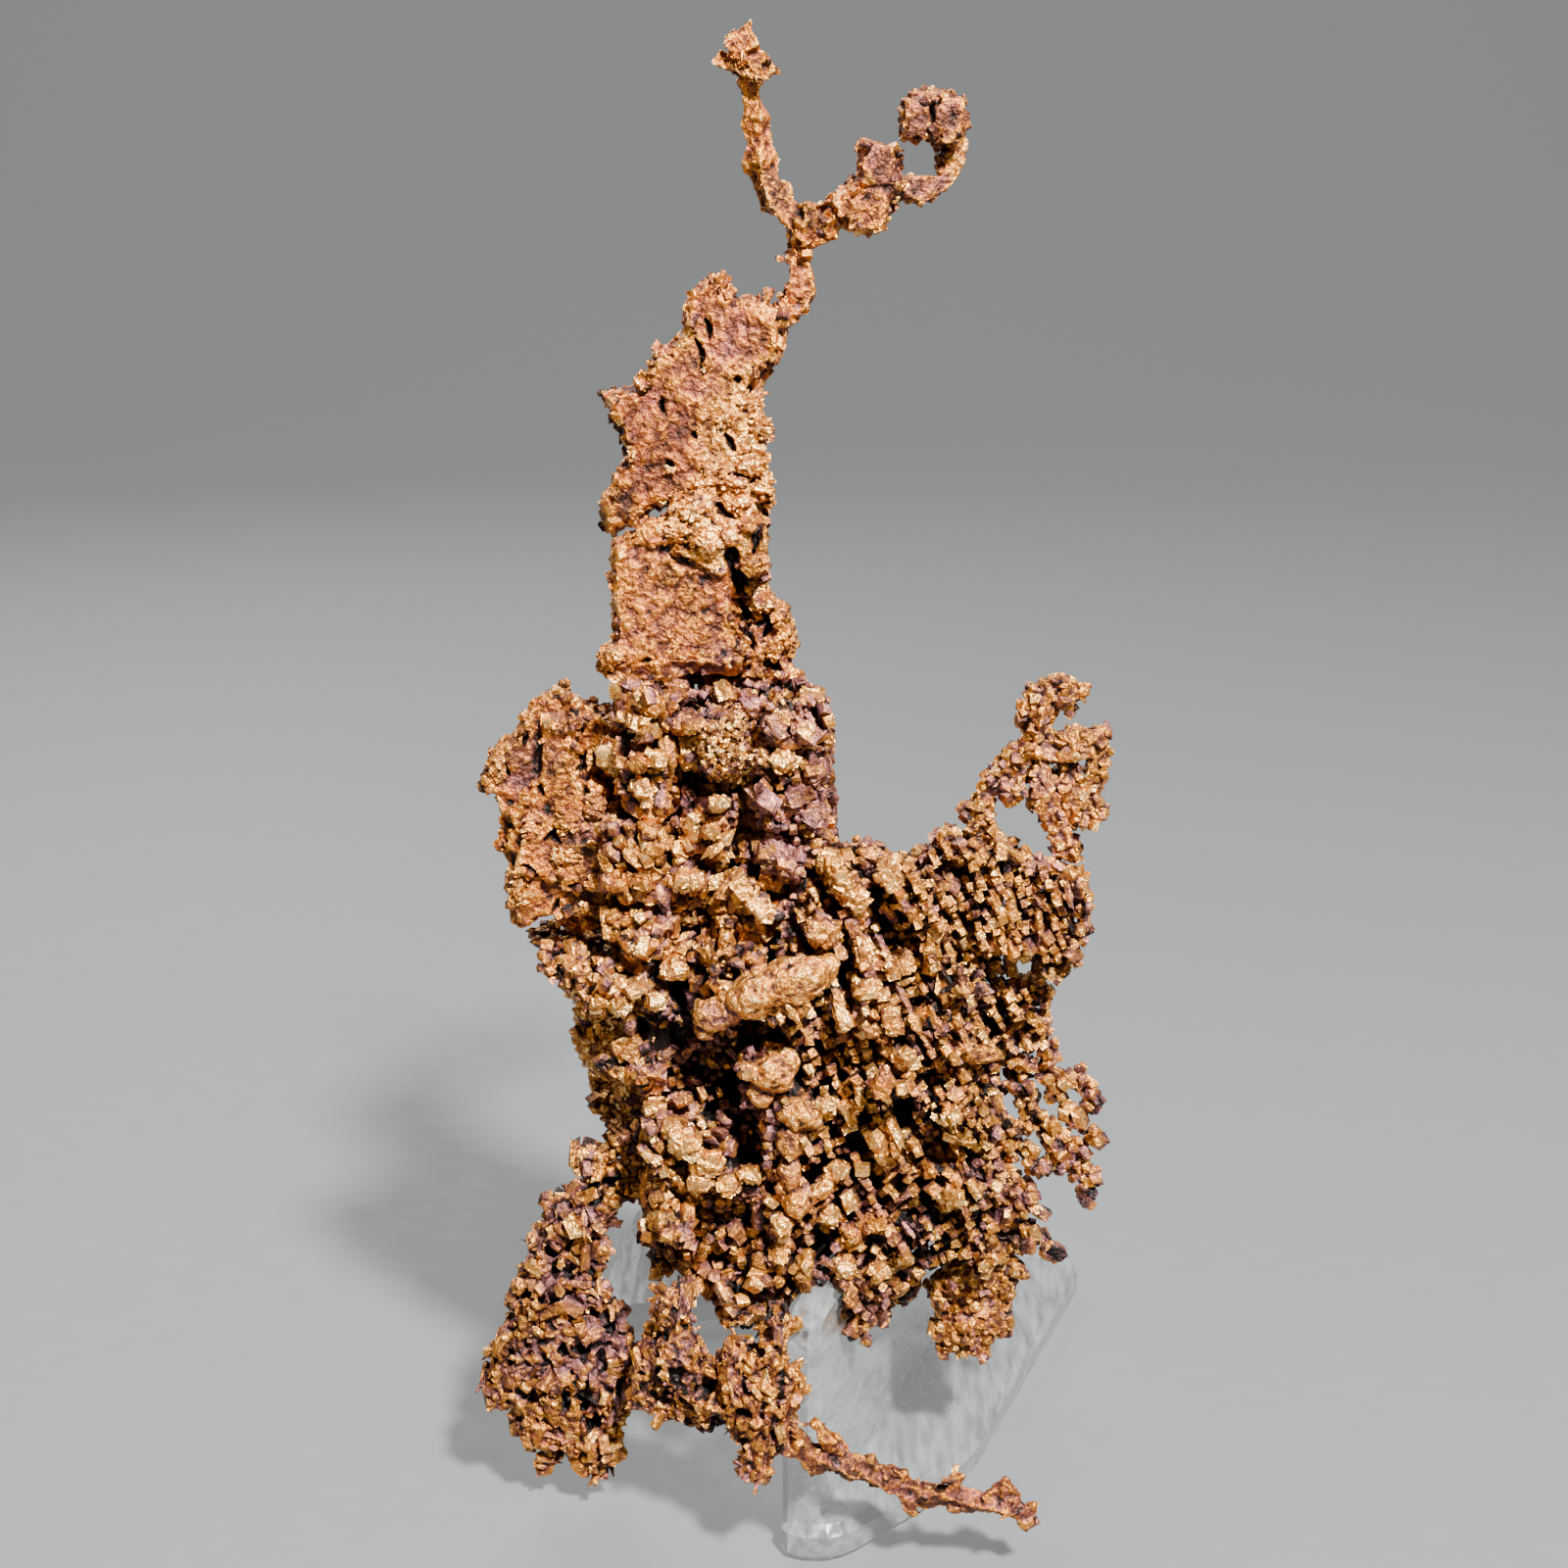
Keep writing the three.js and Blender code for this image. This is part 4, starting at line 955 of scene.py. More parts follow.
@dataclass(frozen=True)
class TarnishedCopper:
    """Native copper under a thin brown and plum oxide, worn to bright metal on its crests.

    tan, orange, plum and umber are the oxide, gold the worn metal with a painted highlight on
    the crests, cream a painted highlight for the glints, and dark painted shade in the recesses
    with dark specks of tarnish at random. pit, mottle and patch are the grains of the tarnish
    in mm, and speck is how sharply the pits show. matt and gloss are the roughness, and
    oxide and metal how metallic it is, from the full oxide to the worn metal.
    """

    name: str = "Tarnished native copper"
    tan: str = "#74400f"
    orange: str = "#934308"
    gold: str = "#e2982f"
    plum: str = "#8d5a5c"
    cream: str = "#ffdf9e"
    dark: str = "#0a0402"
    pit: float = 0.3
    mottle: float = 0.9
    patch: float = 4.5
    bump: float = 0.6
    speck: float = 0.6
    umber: str = "#4a2410"
    matt: float = 0.52
    gloss: float = 0.23
    oxide: float = 0.68
    metal: float = 0.95

    def material(self) -> bpy.types.Material:
        """Makes the finish.

        Returns:
            The new material.
        """
        mat, surface = blank_material(self.name)
        straight = add_node(mat, "ShaderNodeTexCoord").outputs["Object"]
        where = add_node(  # turned, so that no flat sheet lies along the noise's own net
            mat, "ShaderNodeMapping", Vector=straight, Rotation=(0.6, 0.4, 0.9),
        ).outputs["Vector"]
        pits, mottles, patches = (
            self.spread(mat, where, size) for size in (self.pit, self.mottle, self.patch)
        )
        colour, bright = self.colours(mat, pits, mottles, patches)
        rough, metal = (
            add_node(
                mat, "ShaderNodeMapRange", Value=bright, **{"To Min": low, "To Max": high},
            ).outputs["Result"]
            for low, high in ((self.matt, self.gloss), (self.oxide, self.metal))
        )
        grain = add_node(
            mat, "ShaderNodeTexVoronoi", Vector=where, Scale=1 / (self.pit * 1.6 * MM),
        ).outputs["Distance"]
        height = self.level(mat, (pits, 0.7), (grain, 0.8), (None, 0.0), clamp=False)
        bump = add_node(
            mat, "ShaderNodeBump", Height=height, Strength=self.bump, Distance=0.2 * MM,
        ).outputs["Normal"]
        shader = add_node(
            mat, "ShaderNodeBsdfPrincipled", Roughness=rough, Metallic=metal, Normal=bump,
            **{"Base Color": colour},
        )
        mat.node_tree.links.new(shader.outputs[0], surface)
        return mat

    def colours(
        self, mat: bpy.types.Material, pits: bpy.types.NodeSocket,
        mottles: bpy.types.NodeSocket, patches: bpy.types.NodeSocket,
    ) -> tuple[bpy.types.NodeSocket, bpy.types.NodeSocket]:
        """Lays the colours over one another, from the oxide up to the painted shade in the
        recesses.

        Args:
            mat: the material.
            pits: the finest noise.
            mottles: the noise of middling grain.
            patches: the broadest noise.

        Returns:
            The colour, and how far it shows worn bright metal with a painted highlight.
        """
        tone = add_node(mat, "ShaderNodeAttribute", attribute_name="tone")
        parts = add_node(mat, "ShaderNodeSeparateColor", Color=tone.outputs["Color"])
        orange, gold, plum = (parts.outputs[name] for name in ("Red", "Green", "Blue"))
        relief = add_node(mat, "ShaderNodeAttribute", attribute_name="relief").outputs["Fac"]
        k = self.speck
        # worn metal on the crests and a painted highlight there; it also sets roughness and
        # metallic
        bright = self.level(
            mat, (gold, 0.6), (relief, 0.5), (pits, 0.9 * k), (mottles, 0.4), (plum, -0.3),
            (None, -0.34 - 0.45 * k))
        layers = (
            (self.orange, self.level(mat, (orange, 1.0), (mottles, 0.5), (None, -0.3))),
            (self.plum, self.level(
                mat, (plum, 1.3), (patches, 0.4), (mottles, 0.3), (relief, -0.5),
                (None, -0.27))),
            (self.umber, self.level(
                mat, (patches, -0.9), (mottles, -0.7), (gold, -0.8), (None, 1.45))),
            (self.gold, bright),
            # cream: a painted highlight on the crests of bright crystals, standing in for glints
            (self.cream, self.level(
                mat, (gold, 0.7), (relief, 0.5), (pits, 1.5 * k), (plum, -0.4),
                (None, -0.68 - 0.85 * k))),
            # dark: painted shade where the relief is low, with random dark specks of tarnish
            (self.dark, self.level(
                mat, (relief, -0.85), (pits, -1.1 * k), (mottles, -0.3),
                (None, 0.4 + 0.6 * k))),
        )
        colour = self.tan
        for tint, share in layers:
            colour = self.mixed(mat, colour, tint, share)
        return colour, bright

    @staticmethod
    def spread(
        mat: bpy.types.Material, where: bpy.types.NodeSocket, size: float,
    ) -> bpy.types.NodeSocket:
        """Noise stretched to run from 0 to 1.

        Args:
            mat: the material.
            where: the place that the noise reads.
            size: its grain in mm.

        Returns:
            The noise.
        """
        clouds = add_node(
            mat, "ShaderNodeTexNoise", Vector=where, Scale=1 / (size * MM), Detail=3.0,
            Roughness=0.6,
        ).outputs["Fac"]
        return add_node(
            mat, "ShaderNodeMapRange", Value=clouds, **{"From Min": 0.34, "From Max": 0.66},
        ).outputs["Result"]

    @staticmethod
    def mixed(
        mat: bpy.types.Material, first: bpy.types.NodeSocket | str, second: str,
        share: bpy.types.NodeSocket,
    ) -> bpy.types.NodeSocket:
        """Mixes two colours by a share.

        Args:
            mat: the material.
            first: a socket or a hex colour.
            second: a hex colour.
            share: how much of the second.

        Returns:
            The mixed colour.
        """
        start = linear(first) if isinstance(first, str) else first
        inputs = {MIX_SHARE: share, MIX_FIRST: start, MIX_SECOND: linear(second)}
        return add_node(mat, "ShaderNodeMix", data_type="RGBA", **inputs).outputs[MIX_COLOUR]

    @staticmethod
    def level(
        mat: bpy.types.Material, *terms: tuple[bpy.types.NodeSocket | None, float],
        clamp: bool = True,
    ) -> bpy.types.NodeSocket:
        """Adds up sockets by weight.

        Args:
            mat: the material.
            *terms: sockets with their weights, and None with a constant as the last.
            clamp: whether the sum is kept between 0 and 1.

        Returns:
            The sum.
        """
        total: object = terms[-1][1]
        for socket, weight in terms[:-1]:
            total = add_node(
                mat, "ShaderNodeMath", operation="MULTIPLY_ADD",
                **{"0": socket, "1": weight, "2": total},
            ).outputs[0]
        total.node.use_clamp = clamp
        return total


def linear(text: str) -> tuple[float, float, float, float]:
    """Linear colour of an sRGB hex value."""
    parts = [int(text[i:i + 2], 16) / 255 for i in (1, 3, 5)]
    return (*[c / 12.92 if c <= 0.04045 else ((c + 0.055) / 1.055) ** 2.4 for c in parts], 1.0)


def blank_material(name: str) -> tuple[bpy.types.Material, bpy.types.NodeSocket]:
    """Empty node material.

    Args:
        name: its name.

    Returns:
        The material and its output's surface socket.
    """
    mat = bpy.data.materials.new(name)
    mat.use_nodes = True
    mat.node_tree.nodes.clear()
    output = mat.node_tree.nodes.new("ShaderNodeOutputMaterial")
    return mat, output.inputs["Surface"]


def add_node(mat: bpy.types.Material, kind: str, **settings: object) -> bpy.types.Node:
    """Adds a node with its settings and links.

    Args:
        mat: the material.
        kind: the node's type.
        **settings: values, or sockets to link from, for its inputs by name or number, and
            values for its own properties.

    Returns:
        The node.
    """
    node = mat.node_tree.nodes.new(kind)
    for key, value in settings.items():
        if hasattr(node, key):
            setattr(node, key, value)
    for key, value in settings.items():
        if hasattr(node, key):
            continue
        socket = node.inputs[int(key) if key.isdigit() else key]
        if isinstance(value, bpy.types.NodeSocket):
            mat.node_tree.links.new(value, socket)
        else:
            socket.default_value = value
    return node


@dataclass(frozen=True)
class ClearAcrylic:
    """Cast acrylic sheet, see-through, with faint white scuffs from handling.

    scratch is the width of the scuffs in mm.
    """

    name: str = "Clear cast acrylic"
    tint: str = "#f7fbfa"
    ior: float = 1.49
    scratch: float = 0.7

    def material(self) -> bpy.types.Material:
        """Makes the finish.

        Returns:
            The new material.
        """
        mat, surface = blank_material(self.name)
        place = add_node(mat, "ShaderNodeTexCoord").outputs["Object"]
        streak = add_node(
            mat, "ShaderNodeMapping", Vector=place, Scale=(1.0, 0.16, 1.0), Rotation=(0, 0, 0.6),
        ).outputs["Vector"]
        haze = add_node(
            mat, "ShaderNodeTexNoise", Vector=streak, Scale=1 / (self.scratch * MM), Detail=5.0,
        ).outputs["Fac"]
        rough = add_node(
            mat, "ShaderNodeMapRange", Value=haze,
            **{"From Min": 0.4, "From Max": 0.75, "To Min": 0.08, "To Max": 0.35},
        ).outputs["Result"]
        clear = add_node(  # scuffed where the haze is thick, which turns it faintly white
            mat, "ShaderNodeMapRange", Value=haze,
            **{"From Min": 0.3, "From Max": 0.8, "To Min": 0.965, "To Max": 0.86},
        ).outputs["Result"]
        bump = add_node(
            mat, "ShaderNodeBump", Height=haze, Strength=0.05, Distance=0.05 * MM,
        ).outputs["Normal"]
        shader = add_node(
            mat, "ShaderNodeBsdfPrincipled", Roughness=rough, Normal=bump, IOR=self.ior,
            **{"Base Color": linear(self.tint), "Transmission Weight": clear},
        )
        mat.node_tree.links.new(shader.outputs[0], surface)
        return mat


@dataclass
class CopperPiece:
    """One piece of the copper: a rough, closed skin and the crisp crystals on it.

    voxel is the grain of the skin in mm, budget its most triangles, and drop how much of
    the skin counts as recess, darkened with painted shade. Only the first coat goes on before
    the creases.
    """

    name: str
    node: str
    slot: str
    voxel: float = 0.16
    coats: tuple[tuple[Coat, float, float], ...] = ()
    budget: int = 60000
    relief_rounds: int = 14
    relief_height: float = 0.16
    drop: float = 0.0
    creases: tuple[Crease, ...] = ()
    crease_shade: float = 1.1
    sink_shade: float = 1.2
    crystal_share: float = 0.75

    def fuse(self, obj: bpy.types.Object, bed: CrystalBed | None = None) -> bpy.types.Object:
        """Fuses the parts of a piece in one rough skin and paints it.

        Args:
            obj: the object to fuse.
            bed: the crystals that are in it.

        Returns:
            The same object.
        """
        apply(obj, "REMESH", mode="VOXEL", voxel_size=self.voxel * MM)
        for layer in self.coats[:1]:
            coat(obj, *layer)
        if self.creases:
            press(obj, self.creases)
        for layer in self.coats[1:]:
            coat(obj, *layer)
        tris = len(obj.data.polygons) * 2
        if tris > self.budget:
            apply(obj, "DECIMATE", ratio=self.budget / tris)
        self.tarnish(obj, bed)
        return obj

    def tarnish(self, obj: bpy.types.Object, bed: CrystalBed | None = None) -> None:
        """Paints the tarnish by place, by relief and by the crystals nearby.

        Args:
            obj: the piece's object.
            bed: the crystals that are in it.
        """
        corners, _ = arrays_of(obj.data)
        marks = SHEET.marks(corners / MM)
        tones = TARNISH.over(marks)
        # the finish paints shade where relief is low; drop, creases and deep crystals lower it as
        # painted shade
        relief = relief_of(obj, self.relief_rounds, self.relief_height) - self.drop
        front = corners[:, 1] < SHEET.copper_plane * MM
        for crease in self.creases:
            relief -= self.crease_shade * crease.share(marks) * front
        if bed:
            own, sinks = bed.tarnish(corners / MM)
            tones = tones * (1 - self.crystal_share) + own * self.crystal_share
            relief -= self.sink_shade * sinks
        paint(obj.data, tones, relief)

    def dress(self, obj: bpy.types.Object, finish: bpy.types.Material) -> bpy.types.Object:
        """Gives a piece its name and finish and sets it on its body.

        Args:
            obj: the piece's object.
            finish: its material.

        Returns:
            The same object.
        """
        obj.name = obj.data.name = self.name
        obj.data.materials.clear()
        obj.data.materials.append(finish)
        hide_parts(self.node)
        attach(obj, "root")
        LOG.info("%s: %d triangles", self.name, len(arrays_of(obj.data)[1]))
        return obj


STRAYS = (  # up to which chance a crystal turns to a tone, and by how much
    (0.2, MAUVE, 0.6), (0.42, CREAM, 0.75), (0.54, DARK_BROWN, 0.6), (0.68, RUST, 0.45),
)


def chance_tone(tone: Tone, random: np.random.Generator) -> Tone:
    """A crystal's own tone, which strays from its surroundings.

    Args:
        tone: the tone of its surroundings.
        random: source of chance.

    Returns:
        Its own tone.
    """
    chance = random.random()
    for limit, stray, share in STRAYS:
        if chance < limit:
            return tone.blend(stray, share)
    return tone


@dataclass(frozen=True)
class Oval:
    """Oval area of the sheet."""

    u: float
    v: float
    ru: float
    rv: float

    def holds(self, u: float, v: float) -> float:
        """1 in its middle, falling to 0 at its edge."""
        return max(0.0, 1 - ((u - self.u) / self.ru) ** 2 - ((v - self.v) / self.rv) ** 2)


@dataclass(frozen=True)
class Knot(Oval):
    """Area where crystals grow in no ranks.

    half is their half width in mm, and drop is how far below the surface they lie.
    """

    half: float = 0.42
    drop: float = 0.0


KNOTS = (
    Knot(760, 790, 110, 120, half=0.3),
    Knot(640, 800, 70, 110, half=0.37),
    Knot(738, 1110, 62, 150, half=0.27, drop=0.6),
    Knot(680, 1040, 34, 62, half=0.3, drop=1.6),
    Knot(628, 1030, 56, 120, half=0.34),
    Knot(720, 1270, 90, 70, half=0.42),
    Knot(720, 930, 80, 60, half=0.36, drop=0.3),
)

HOLLOW_BARE = 0.25  # no crystal stands deeper than this in a hollow
POCKET_BARE = 0.45  # nor deeper than this in a pocket of a branch
EDGE_FACING = 0.75  # an edge faces the front by less than this
FINE_HALF = 0.38  # mm, the half width under which a knot's crystals stand close
TIP_ROW = 1500.0  # v below which a branch has no pockets
TIP_FADE = 30.0  # rows above it over which they fade
POCKET_SIZE = 13.0  # width of a pocket in sheet steps
POCKET_SHORTER = 0.75  # its width as a share of its height
POCKET_RIM = 0.13  # dent at which it begins
POCKET_STEEP = 3.5  # how fast it deepens from there
FAN_BEDS = ("fan_front", "column_front", "fan_rear", "column_rear", "lumps")
LUMP_COATS = ((Coat.CLOUDS, 1.1, 0.45), (Coat.CLOUDS, 0.3, 0.1))
HOLLOWS = tuple(Oval(*row) for row in (
    (894, 908, 10, 30), (800, 951, 26, 18), (984, 885, 9, 14), (859, 997, 10, 20),
    (925, 1035, 9, 15), (914, 1058, 9, 10), (815, 1092, 10, 24), (916, 1134, 10, 20),
    (750, 987, 17, 12), (692, 1015, 16, 36), (682, 1068, 18, 24), (745, 1116, 9, 22),
    (749, 1186, 11, 14), (830, 1202, 9, 18), (926, 1133, 8, 16), (842, 1272, 13, 18),
    (943, 1214, 10, 18), (965, 1278, 9, 10), (638, 753, 13, 17), (642, 786, 9, 22),
    (638, 830, 14, 18), (676, 802, 9, 14), (698, 872, 9, 14), (760, 890, 16, 12),
    (747, 694, 12, 9), (598, 788, 12, 30), (626, 921, 7, 11), (847, 704, 11, 22),
    (1005, 925, 9, 9), (960, 1000, 8, 9), (1000, 1010, 8, 7), (880, 1090, 8, 9),
    (868, 1168, 7, 12), (985, 1190, 7, 9), (780, 1255, 10, 16), (720, 1228, 9, 9),
))
TUFT = Oval(748, 765, 34, 37)


def hollow(u: float, v: float) -> float:
    """How deep in a dark hollow of the front a sheet point lies, from 0 to 1."""
    return max(oval.holds(u, v) for oval in HOLLOWS)


def dents(u: float, v: float, size: float) -> float:
    """Chance dents of the front of a given size in sheet steps, from -1 to 1."""
    return noise.noise(Vector((u / size, v / size, 4.7)))


@dataclass(frozen=True)
class Feature:
    """Crystal or lump of the front that stands out by itself.

    u and v are its middle, length and width its half sizes in sheet steps, turn its
    direction in degrees from u toward v, lift how far it stands out in mm, and grain the
    half width of the small crystals that it is grown together from.
    """

    habit: Habit
    u: float
    v: float
    length: float
    width: float
    turn: float
    tone: Tone
    lift: float = 0.2
    grain: float = 4.1

    def spots(
        self, count: int, reach: float, random: np.random.Generator,
    ) -> Iterator[tuple[float, float, float]]:
        """Places spread over it in a spiral, from its middle outward.

        Args:
            count: how many.
            reach: how far out the last one is, as a share of its half sizes.
            random: source of chance.

        Yields:
            u and v of each, and how far out it is, from 0 to 1.
        """
        axis = math.radians(self.turn)
        for i in range(count):
            out = math.sqrt((i + 0.4) / count)
            a = GOLDEN_TURN * i + float(random.uniform(-0.4, 0.4))
            x, y = self.length * reach * out * math.cos(a), self.width * reach * out * math.sin(a)
            yield (
                self.u + x * math.cos(axis) - y * math.sin(axis),
                self.v + x * math.sin(axis) + y * math.cos(axis),
                out,
            )


def features_of(*rows: tuple) -> tuple[Feature, ...]:
    """Features from rows of their values."""
    return tuple(Feature(*row) for row in rows)


BAR = Tone(0.45, 0.85, 0.2)
PINK = Tone(0.2, 0.6, 0.6)
HONEY = Tone(0.6, 0.85, 0.05)
OLIVE = Tone(0.45, 0.6, 0.1)
BOSS, KNOB, BLOCK, ROD = Habit.BOSS, Habit.KNOB, Habit.BLOCK, Habit.ROD
SHARD, SLAB = Habit.SHARD, Habit.SLAB
# The BROWN lumps at the bottom of the fan are painted shade where the body faces down into
# shadow; CREAM crystals carry a painted highlight.
FEATURES = features_of(
    (BOSS, 738, 1031, 30, 17, -30, PINK, 0.5), (BOSS, 772, 1014, 38, 20, -20, BAR, 0.7),
    (BOSS, 806, 1002, 36, 22, -12, BAR, 0.8), (BOSS, 836, 991, 24, 14, -22, BAR, 0.7),
    (BOSS, 812, 1026, 15, 13, 10, BAR, 0.4), (BOSS, 720, 1048, 13, 12, 90, BAR, 0.3),
    (BOSS, 788, 1095, 22, 19, -10, HONEY, 0.8), (BOSS, 776, 1115, 16, 12, 80, HONEY, 0.5),
    (BOSS, 803, 1083, 14, 12, -30, BAR, 0.6), (KNOB, 764, 1092, 10, 8, 0, HONEY, 0.4),
    (BOSS, 815, 1138, 17, 20, 90, BAR, 0.7), (BOSS, 806, 1164, 22, 15, 80, PINK, 0.6),
    (BOSS, 806, 1196, 25, 11, 88, PINK, 0.5), (BOSS, 812, 1226, 17, 17, 90, BAR, 0.6),
    (BOSS, 836, 1216, 17, 9, -5, BAR, 0.5), (KNOB, 798, 1250, 14, 11, 80, BAR, 0.3),
    (KNOB, 700, 1166, 26, 18, 58, HONEY, 0.7), (KNOB, 722, 1186, 19, 16, 0, HONEY, 0.6),
    (KNOB, 689, 1149, 14, 12, 0, BAR, 0.4), (KNOB, 714, 1206, 14, 12, 0, HONEY, 0.4),
    (KNOB, 846, 880, 16, 14, 90, BAR, 0.5), (KNOB, 857, 901, 19, 16, 60, HONEY, 0.7),
    (KNOB, 872, 917, 17, 13, 30, BAR, 0.6), (KNOB, 876, 938, 15, 11, 80, PINK, 0.5),
    (KNOB, 908, 893, 19, 15, 70, HONEY, 0.7), (KNOB, 841, 950, 21, 18, 20, PINK, 0.5),
    (KNOB, 882, 972, 20, 11, 80, HONEY, 0.4), (KNOB, 886, 1010, 16, 11, 10, BAR, 0.5),
    (KNOB, 909, 1040, 16, 9, 85, BAR, 0.5), (KNOB, 921, 980, 17, 10, 65, PINK, 0.4),
    (ROD, 951, 968, 24, 10, 82, BAR, 0.4), (ROD, 858, 1030, 26, 8, 68, HONEY, 0.6),
    (ROD, 882, 1042, 16, 8, 62, PINK, 0.5), (KNOB, 925, 1082, 16, 13, 40, HONEY, 0.5),
    (BOSS, 994, 1075, 27, 10, 4, BROWN, 0.3), (KNOB, 898, 1110, 13, 11, 0, RUST, 0.5),
    (ROD, 910, 1148, 25, 8, 62, HONEY, 0.8), (ROD, 900, 1176, 26, 10, 52, BAR, 0.7),
    (KNOB, 842, 1128, 15, 10, 0, BAR, 0.5), (KNOB, 868, 1128, 14, 9, 0, HONEY, 0.5),
    (KNOB, 971, 1138, 10, 9, 0, OLIVE, 0.5), (KNOB, 977, 1158, 14, 8, 10, BAR, 0.4),
    (KNOB, 969, 1222, 20, 15, 0, BAR, 0.4), (KNOB, 853, 1196, 17, 12, -40, HONEY, 0.6),
    (BLOCK, 868, 1224, 8, 8, 0, CREAM, 0.7), (BLOCK, 880, 1192, 7, 7, 0, CREAM, 0.6),
    (KNOB, 868, 1262, 16, 12, -30, RUST, 0.5), (KNOB, 892, 1248, 16, 11, -20, RUST, 0.5),
    (KNOB, 847, 1240, 11, 10, 0, HONEY, 0.4), (KNOB, 902, 1294, 15, 12, -20, HONEY, 0.3),
    (KNOB, 920, 1284, 13, 10, -20, HONEY, 0.3), (KNOB, 863, 1292, 16, 11, 85, HONEY, 0.4),
    (ROD, 820, 1297, 25, 11, 86, HONEY, 0.4), (KNOB, 796, 1278, 17, 8, 88, OLIVE, 0.3),
    (ROD, 897, 1334, 18, 9, 90, BROWN, 0.1), (KNOB, 940, 1338, 10, 8, 90, BROWN, 0.1),
    (BOSS, 862, 1350, 13, 12, 0, BROWN, 0.1), (KNOB, 836, 1326, 12, 10, 90, BROWN, 0.1),
    (BOSS, 741, 965, 21, 10, 88, BAR, 0.5), (BOSS, 768, 966, 20, 10, 72, HONEY, 0.5),
    (SHARD, 726, 985, 20, 9, 86, HONEY, 0.4), (KNOB, 691, 990, 10, 9, 0, CREAM, 0.5),
    (KNOB, 652, 1007, 14, 8, -20, CREAM, 0.6), (KNOB, 669, 1021, 12, 8, 0, CREAM, 0.6),
    (KNOB, 634, 1025, 10, 7, -20, CREAM, 0.5), (KNOB, 607, 1024, 15, 11, 0, BAR, 0.3),
    (SLAB, 632, 1062, 14, 12, -30, HONEY, 0.4), (SLAB, 640, 1068, 14, 12, -30, BAR, 0.5),
    (SLAB, 648, 1074, 13, 11, -30, HONEY, 0.4), (SLAB, 626, 1052, 13, 10, -20, BAR, 0.4),
    (SLAB, 600, 1054, 10, 8, 0, HONEY, 0.2), (SLAB, 602, 1068, 10, 8, 0, BAR, 0.2),
    (SHARD, 640, 1114, 15, 8, 80, HONEY, 0.3), (KNOB, 667, 1126, 15, 13, 0, BAR, 0.4),
    (KNOB, 696, 1121, 10, 7, 0, PINK, 0.4), (KNOB, 744, 1208, 15, 11, -15, BAR, 0.5),
    (KNOB, 766, 1198, 14, 9, -15, HONEY, 0.5), (KNOB, 702, 899, 24, 10, -16, HONEY, 0.4),
    (ROD, 690, 928, 20, 5, -36, BAR, 0.4), (BLOCK, 757, 906, 16, 8, 52, PINK, 0.5),
    (KNOB, 776, 928, 17, 12, 60, HONEY, 0.5), (BLOCK, 732, 901, 9, 8, 80, CREAM, 0.5),
    (BOSS, 663, 829, 16, 14, 20, HONEY, 0.7), (BOSS, 612, 750, 14, 11, 110, HONEY, 0.6),
    (KNOB, 626, 734, 15, 8, -12, HONEY, 0.6), (KNOB, 650, 738, 14, 8, 12, BAR, 0.6),
    (BOSS, 658, 758, 10, 9, 90, HONEY, 0.5), (KNOB, 652, 778, 12, 10, 20, RUST, 0.5),
    (KNOB, 670, 776, 10, 9, 0, HONEY, 0.5), (KNOB, 654, 803, 11, 9, 0, BAR, 0.4),
    (SLAB, 620, 767, 11, 9, -8, CREAM, 0.7), (SLAB, 624, 774, 11, 9, -5, CREAM, 0.7),
    (SLAB, 626, 781, 11, 9, 0, CREAM, 0.7), (SLAB, 626, 788, 11, 9, 4, CREAM, 0.7),
    (SLAB, 624, 795, 11, 9, 8, CREAM, 0.7), (BOSS, 682, 766, 18, 9, 100, PINK, 0.5),
    (SLAB, 705, 760, 12, 11, -10, BAR, 0.5), (SLAB, 706, 767, 12, 11, -5, BAR, 0.5),
    (SLAB, 705, 774, 11, 10, 0, BAR, 0.5), (KNOB, 702, 741, 17, 9, -8, PINK, 0.6),
    (KNOB, 733, 820, 9, 6, 0, CREAM, 0.8), (ROD, 708, 843, 16, 8, 74, HONEY, 0.5),
    (KNOB, 725, 848, 9, 7, 0, BAR, 0.5), (ROD, 735, 861, 18, 7, -56, BAR, 0.5),
    (KNOB, 694, 867, 9, 7, 90, OLIVE, 0.3), (KNOB, 800, 776, 15, 13, 30, BAR, 0.3),
    (KNOB, 770, 812, 12, 10, 60, PLUM, 0.4), (BLOCK, 784, 818, 14, 7, 60, PLUM, 0.5),
    (KNOB, 815, 813, 19, 9, -10, PLUM, 0.4), (KNOB, 786, 868, 16, 24, 0, PLUM, 0.4),
    (KNOB, 802, 886, 20, 14, 20, PLUM, 0.3), (KNOB, 739, 706, 17, 9, 66, BROWN, 0.4),
    (KNOB, 765, 720, 16, 10, 60, PLUM, 0.3), (KNOB, 790, 742, 18, 11, 50, PLUM, 0.3),
    (BOSS, 611, 915, 8, 14, 80, RUST, 0.5), (BOSS, 627, 902, 13, 8, 0, RUST, 0.6),
    (BOSS, 641, 915, 9, 15, 100, RUST, 0.6), (BOSS, 634, 938, 14, 9, -10, RUST, 0.5),
    (BOSS, 616, 938, 9, 9, 0, RUST, 0.4), (KNOB, 655, 900, 12, 9, 0, OLIVE, 0.4),
    (KNOB, 660, 706, 12, 10, 0, BAR, 0.3), (KNOB, 668, 722, 10, 9, 0, OLIVE, 0.3),
    (KNOB, 690, 700, 12, 9, 0, BROWN, 0.3), (KNOB, 826, 748, 14, 12, 60, PLUM, 0.3),
    (KNOB, 834, 786, 12, 16, 0, PLUM, 0.3), (KNOB, 832, 832, 12, 16, 0, PLUM, 0.3),
)


